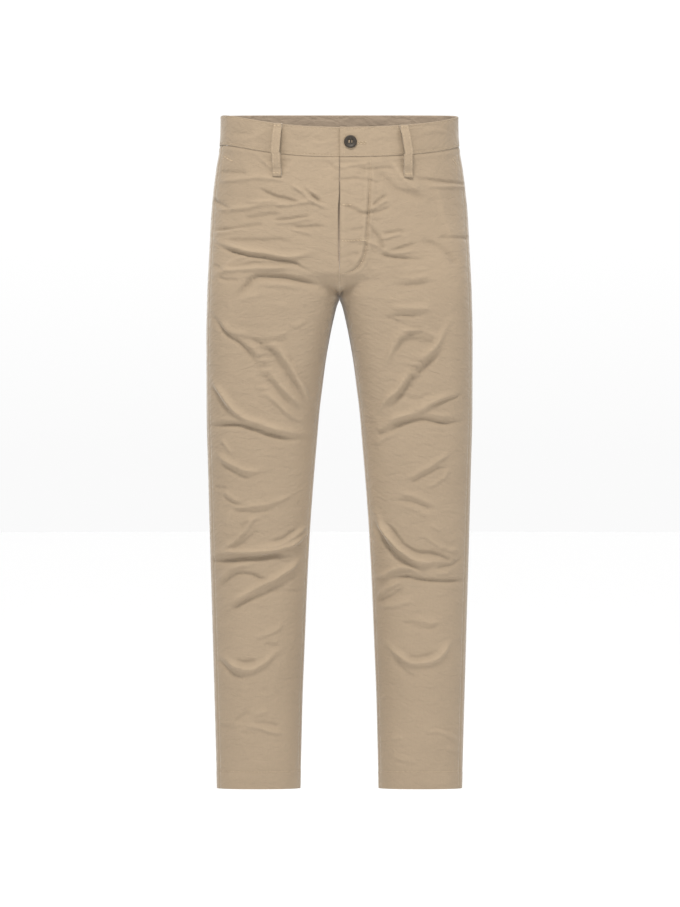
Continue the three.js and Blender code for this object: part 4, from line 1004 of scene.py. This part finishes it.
LOOP_DEPTHS = np.concatenate([[0.4, 0.8, 1.6], np.linspace(2.6, 78.6, 56), [79.8, 80.6, 81.0]])
LOOP_STEPS = np.array([-1, -0.985, -0.94, -0.86, -0.74, -0.62, -0.5, -0.25, -0.08, 0, 0.08, 0.25, 0.5, 0.62,
                       0.74, 0.86, 0.94, 0.985, 1])
loop_stitches = []
loop_bars = []
for number, loop in enumerate(LOOPS):
    outer, inner, away = [], [], []
    for depth in LOOP_DEPTHS:
        x = loop.top + (loop.bottom - loop.top) * depth / LOOP_LENGTH
        behind, normal = cloth_behind(loop.side, x, depth, loop.front)
        flat = np.array([normal[0], normal[1], 0]) / np.hypot(normal[0], normal[1])
        across = np.array([-flat[1], flat[0], 0])
        from_end = min(depth - 0.4, LOOP_LENGTH - depth)
        end_round = 0.8 * (1 - np.sqrt(1 - (1 - np.clip(from_end / 1.2, 0, 1)) ** 2))
        wobble = 0.25 * np.sin(depth / 7 + number * 2) + 0.2 * np.sin(depth / 3.1 + number)
        lip = 0.6 * (1 - np.sqrt(1 - np.clip((np.abs(LOOP_STEPS) - 0.9) / 0.1, 0, 1) ** 2))
        sewn_in = (0.30 * np.exp(-((np.abs(LOOP_STEPS) - 0.64) / 0.12) ** 2)
                   + 0.12 * np.exp(-(LOOP_STEPS / 0.07) ** 2))
        narrow = 1 - 0.05 * step(0, 14, 14 - depth) + 0.01 * wobble
        base = behind + across * (LOOP_STEPS * LOOP_WIDTH / 2 * narrow)[:, None]
        top = clear_at(depth) + thick_at(depth) - end_round
        outer.append(base + flat * (top - lip - sewn_in + 0.3 * wobble)[:, None])
        inner.append(base + flat * (clear_at(depth) + lip * 0.5)[:, None])
        away.append(flat)
    outer, inner, away = np.array(outer), np.array(inner), np.array(away)
    strap = grid_object(loop.name, outer, inner, [cotton_twill, twill_inside], True)
    stands_for(strap, loop.node)
    for column in (5, 13):
        loop_stitches.append((outer[4:-4, column], away[4:-4], False))
    for row in (4, -6):
        loop_bars.append((outer[row, 3:-3], np.repeat(away[row][None], len(LOOP_STEPS) - 6, axis=0), False))

# Stitching
# Cotton-wrapped thread in the cloth's own shade: edge stitching on the band, the curved row that holds the
# fly's facing, rows at the pocket mouths and the row that holds each turned-up hem.
stitch_tree = bpy.data.node_groups.new("stitch_row", "GeometryNodeTree")
open_tree = stitch_tree
stitch_tree.interface.new_socket("Geometry", in_out="INPUT", socket_type="NodeSocketGeometry")
for socket in ("Pitch", "Length", "Width", "Height", "Turn"):
    stitch_tree.interface.new_socket(socket, in_out="INPUT", socket_type="NodeSocketFloat")
stitch_tree.interface.new_socket("Thread", in_out="INPUT", socket_type="NodeSocketMaterial")
stitch_tree.interface.new_socket("Geometry", in_out="OUTPUT", socket_type="NodeSocketGeometry")
given = shade("given", "NodeGroupInput").outputs
line = shade("line", "GeometryNodeMeshToCurve", None, {"Mesh": given["Geometry"]})
spaced = shade("spaced", "GeometryNodeResampleCurve", None,
               {"Curve": line.outputs[0], "Length": given["Pitch"]}, mode="LENGTH")
size = shade("size", "ShaderNodeCombineXYZ", None,
             {"X": given["Length"], "Y": given["Width"], "Z": given["Height"]})
spin = shade("spin", "ShaderNodeCombineXYZ", None, {"Z": given["Turn"]})
bead = shade("bead", "GeometryNodeMeshUVSphere", {"Segments": 8, "Rings": 5, "Radius": 0.5})
shaped = shade("shaped", "GeometryNodeTransform", None,
               {"Geometry": bead.outputs["Mesh"], "Scale": size.outputs[0]})
laid = shade("laid", "GeometryNodeTransform", None,
             {"Geometry": shaped.outputs[0], "Rotation": spin.outputs[0]})
tangent = shade("tangent", "GeometryNodeInputTangent")
lay = shade("lay", "GeometryNodeInputNamedAttribute", {"Name": "lay"}, data_type="FLOAT_VECTOR")
along = shade("along", "FunctionNodeAlignRotationToVector", None, {"Vector": tangent.outputs[0]}, axis="X")
facing = shade("facing", "FunctionNodeAlignRotationToVector", None,
               {"Rotation": along.outputs[0], "Vector": lay.outputs[0]}, axis="Z", pivot_axis="X")
placed = shade("placed", "GeometryNodeInstanceOnPoints", None,
               {"Points": spaced.outputs[0], "Instance": laid.outputs[0], "Rotation": facing.outputs[0]})
solid = shade("solid", "GeometryNodeRealizeInstances", None, {"Geometry": placed.outputs[0]})
dyed = shade("dyed", "GeometryNodeSetMaterial", None,
             {"Geometry": solid.outputs[0], "Material": given["Thread"]})
shade("result", "NodeGroupOutput", None, {"Geometry": dyed.outputs[0]})

cotton_thread, thread_surface = new_look("cotton thread", {"Roughness": 0.7, "Sheen Weight": 0.2})
# The twist of the two plies shows as fine slanted bands, 0.4 mm apart on the real thread.
ply_place = shade("place", "ShaderNodeTexCoord").outputs["Object"]
ply = shade("ply", "ShaderNodeTexWave", {"Scale": 125, "Distortion": 0.4}, {"Vector": ply_place},
            bands_direction="DIAGONAL")
ply_tone = shade("ply_tone", "ShaderNodeMix", {6: linear("927f66"), 7: linear("b3a086")},
                 {0: ply.outputs["Fac"]}, data_type="RGBA")
open_tree.links.new(ply_tone.outputs[2], thread_surface["Base Color"])


def sewn(name, chains, pitch, length, width, height, turn=0.0, thread=cotton_thread):
    """Stitches along chains of points with outward directions, in millimetres, as one plain mesh."""
    mesh = bpy.data.meshes.new(name)
    points, lays, edges = [], [], []
    for chain, away, closed in chains:
        first = len(points)
        points.extend(np.asarray(chain) / 1000)
        lays.extend(np.asarray(away))
        edges.extend((first + i, first + i + 1) for i in range(len(chain) - 1))
        if closed:
            edges.append((len(points) - 1, first))
    mesh.from_pydata([tuple(point) for point in points], edges, [])
    mesh.attributes.new("lay", "FLOAT_VECTOR", "POINT").data.foreach_set("vector", np.ravel(lays))
    draft = put_in(name + "_draft", mesh)
    rows = draft.modifiers.new("stitches", "NODES")
    rows.node_group = stitch_tree
    values = {"Pitch": pitch / 1000, "Length": length / 1000, "Width": width / 1000, "Height": height / 1000,
              "Turn": turn, "Thread": thread}
    for item in stitch_tree.interface.items_tree:
        if item.in_out == "INPUT" and item.name in values:
            rows[item.identifier] = values[item.name]
    depsgraph = bpy.context.evaluated_depsgraph_get()
    plain = bpy.data.meshes.new_from_object(draft.evaluated_get(depsgraph))
    plain.name = name
    plain.shade_smooth()
    bpy.data.objects.remove(draft)
    made = put_in(name, plain)
    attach(made, "root")
    return made


def grid_row(grid, row, outward, start=0, stop=None, lift=0.15):
    """A chain along one row of a grid of points, with directions that point the given way out."""
    along_row = np.gradient(grid[row], axis=0)
    down = grid[min(row + 1, len(grid) - 1)] - grid[max(row - 1, 0)]
    away = np.cross(along_row, down)
    away /= np.maximum(np.linalg.norm(away, axis=1, keepdims=True), 1e-9)
    away *= np.sign(away[len(away) // 2] @ np.array(outward))
    return (grid[row] + away * lift)[start:stop], away[start:stop], False


def cloth_tree(piece):
    mesh = piece.data
    return BVHTree.FromPolygons([v.co.copy() for v in mesh.vertices],
                                [tuple(p.vertices) for p in mesh.polygons])


def on_cloth(tree, plane_points, lift=0.15, spacing=1.5):
    """A chain on the cloth where plane points show from the camera."""
    path = fine_path(plane_points)
    walked = np.concatenate([[0], np.hypot(*np.diff(path, axis=0).T).cumsum()])
    at = np.linspace(0, walked[-1], max(3, int(walked[-1] / spacing) + 1))
    points, away = [], []
    for u, v in zip(np.interp(at, walked, path[:, 0]), np.interp(at, walked, path[:, 1])):
        toward = (Vector((u / 1000, -PLANE_AHEAD / 1000, -v / 1000)) - EYE).normalized()
        hit, normal, _, _ = tree.ray_cast(EYE, toward)
        if hit is not None:
            normal = normal if normal.dot(toward) < 0 else -normal
            points.append(np.array(hit) * 1000 + np.array(normal) * lift)
            away.append(np.array(normal))
    return np.array(points), np.array(away), False


left_tree = cloth_tree(left_front)
right_tree = cloth_tree(right_front)
band_rows = []
for row in (4, 19):
    band_rows.append(grid_row(left_band_outer, row, (1, 0, 0), 3))
    band_rows.append(grid_row(right_band_outer, row, (-1, 0, 0), 0, RIGHT_COLUMNS + 5))
end_column = left_band_outer[4:20, 2]
band_rows.append((end_column + np.array([0, -0.15, 0]), np.repeat([[0.0, -1.0, 0.0]], 16, axis=0), False))
sewn("stitching_band", band_rows, 2.9, 2.3, 0.5, 0.45)

FLY_CURVE = [(47, 77), (46.6, 100), (45, 140), (42.6, 180), (41, 203), (37, 223), (31, 235), (22, 243),
             (12, 247), (3.5, 248.5)]
fly_row = on_cloth(left_tree, FLY_CURVE)
sewn("stitching_fly", [fly_row], 3.0, 2.4, 0.5, 0.45)

pocket_rows = [on_cloth(right_tree, [(-176.5, 70), (-177.5, 84), (-179, 104)]),
               on_cloth(left_tree, [(176.5, 70), (177.5, 84), (179, 104)])]
sewn("stitching_pockets", pocket_rows, 3.0, 2.3, 0.5, 0.45)

hem_row = int(np.searchsorted(panel_drops, HEM_FOLD_DROP - 0.5))
hem_rows = [grid_row(left_grid, hem_row, (0, -1, 0), 1, -1), grid_row(right_grid, hem_row, (0, -1, 0), 1, -1)]
back_row = int(np.searchsorted(back_drops, HEM_FOLD_DROP - 0.5))
hem_rows += [grid_row(grid, back_row, (0, 1, 0), 1, -1) for grid in (left_back_grid, right_back_grid)]
sewn("stitching_hems", hem_rows, 3.1, 2.5, 0.55, 0.5)
sewn("stitching_loops", loop_stitches, 2.6, 2.0, 0.45, 0.4)

# Bartacks
# Short bars of close zigzag stitches where the cloth is pulled: both ends of each loop, the fly at two
# heights and the top of each pocket mouth.
bars = [on_cloth(left_tree, [(4, 143), (12, 143.6), (19, 143)], spacing=0.8),
        on_cloth(left_tree, [(4, 197.5), (14, 198.5), (26, 197), (41, 198)], spacing=0.8),
        on_cloth(right_tree, [(-175.5, 69), (-170, 73.5), (-163, 76.5)], spacing=0.8),
        on_cloth(left_tree, [(172, 74), (176, 79), (179, 84)], spacing=0.8)]
sewn("bartacks_cloth", bars, 0.55, 1.9, 0.5, 0.5, turn=pi / 2)
sewn("bartacks_loops", loop_bars, 0.55, 1.7, 0.5, 0.5, turn=pi / 2)

# Buttonhole
# The buttonhole's slit through the left end of the band is not cut: two lips of close satin stitches and a
# bar at the far end stand for it, with the button at its near end.
band_tree = cloth_tree(left_band)
lips = [on_cloth(band_tree, [(13, 46.0), (26, 47.1), (38.5, 47.9)], spacing=0.8),
        on_cloth(band_tree, [(13, 48.4), (26, 49.5), (38.5, 50.3)], spacing=0.8)]
sewn("buttonhole_lips", lips, 0.55, 2.0, 0.5, 0.6, turn=pi / 2)
end_bar = on_cloth(band_tree, [(39.4, 46.4), (39.3, 49.0), (39.2, 51.8)], spacing=0.8)
sewn("buttonhole_bar", [end_bar], 0.55, 1.8, 0.5, 0.6, turn=pi / 2)

# Waist button
# A dark mottled resin button with a raised rim, a dished middle and four holes, sewn on with two bars of
# thread. It stays fastened.
Ring = namedtuple("Ring", "radius height")
BUTTON = [
    Ring(0.0, 1.7), Ring(3.0, 1.75), Ring(5.2, 1.95), Ring(6.6, 2.35), Ring(7.2, 2.75), Ring(7.9, 3.0),
    Ring(8.7, 2.95), Ring(9.35, 2.55), Ring(9.7, 1.9), Ring(9.75, 1.4), Ring(9.5, 0.7), Ring(8.8, 0.2),
    Ring(7.0, 0.0), Ring(0.0, 0.0),
]
BUTTON_SIDES = 64
HOLE_REACH = 2.1
resin_button = bmesh.new()
rings = []
for ring in BUTTON:
    if ring.radius == 0:
        rings.append([resin_button.verts.new((0, 0, ring.height / 1000))])
        continue
    angles = np.arange(BUTTON_SIDES) * 2 * pi / BUTTON_SIDES
    rings.append([resin_button.verts.new((ring.radius * np.cos(a) / 1000, ring.radius * np.sin(a) / 1000,
                                          ring.height / 1000)) for a in angles])
for lower, upper in zip(rings[:-1], rings[1:]):
    for i in range(BUTTON_SIDES):
        j = (i + 1) % BUTTON_SIDES
        corners = [lower[i % len(lower)], upper[i % len(upper)], upper[j % len(upper)], lower[j % len(lower)]]
        resin_button.faces.new(list(dict.fromkeys(corners)))
button_mesh = bpy.data.meshes.new("button_disc")
resin_button.to_mesh(button_mesh)
drill_mesh = bpy.data.meshes.new("button_drill")
drill = bmesh.new()
for sx, sy in ((1, 1), (-1, 1), (-1, -1), (1, -1)):
    bmesh.ops.create_cone(drill, cap_ends=True, segments=24, radius1=0.001, radius2=0.001, depth=0.01,
                          matrix=Matrix.Translation((sx * HOLE_REACH / 1000, sy * HOLE_REACH / 1000, 0)))
drill.to_mesh(drill_mesh)
disc = put_in("button_disc", button_mesh)
drill_holder = put_in("button_drill", drill_mesh)
cut = disc.modifiers.new("holes", "BOOLEAN")
cut.object = drill_holder
cut.solver = "EXACT"
bevel = disc.modifiers.new("soft_edges", "BEVEL")
bevel.width = 0.00018
bevel.segments = 2
bevel.limit_method = "ANGLE"
bevel.angle_limit = 0.6
finished = bpy.data.meshes.new_from_object(disc.evaluated_get(bpy.context.evaluated_depsgraph_get()))
bpy.data.objects.remove(disc)
bpy.data.objects.remove(drill_holder)

button_turn = band_turn(1, 16.6, True)
button_depth = 49.4 - waist_edge(1, np.float64(button_turn))
button_point = band_points(1, np.float64(button_turn), button_depth)
button_away = band_normals(1, np.float64(button_turn), button_depth)
button_seat = Vector((button_point + button_away * (BAND_PROUD + 0.4)) / 1000)
button_face = Vector(button_away).to_track_quat("Z", "Y").to_matrix().to_4x4()
finished.transform(Matrix.Translation(button_seat) @ button_face)
finished.shade_smooth()
button = put_in("resin_button", finished)

resin, resin_surface = new_look("button resin", {"Roughness": 0.5, "Specular IOR Level": 0.3})
# Cast resin that imitates horn: brown-black with soft paler clouds, with one even half-polished gloss.
resin_place = shade("place", "ShaderNodeTexCoord").outputs["Object"]
cloud = shade("horn_cloud", "ShaderNodeTexNoise", {"Scale": 170, "Detail": 4, "Distortion": 1.2},
              {"Vector": resin_place})
horn = shade("horn", "ShaderNodeMix", {6: linear("171411"), 7: linear("3c352d")}, {0: cloud.outputs["Fac"]},
             data_type="RGBA")
open_tree.links.new(horn.outputs[2], resin_surface["Base Color"])
finished.materials.clear()
finished.materials.append(resin)
stands_for(button, "waist_button")

side_way = np.array(button_face.to_3x3() @ Vector((1, 0, 0)))
seat = np.array(button_seat) * 1000 + button_away * 2.0
threads = [(np.array([seat + side_way * (sx * HOLE_REACH + off) for off in (-0.5, 0, 0.5)]),
            np.repeat(button_away[None], 3, axis=0), False) for sx in (-1, 1)]
sewn("button_thread", threads, 0.5, 2 * HOLE_REACH + 0.6, 0.5, 0.7, turn=pi / 2)
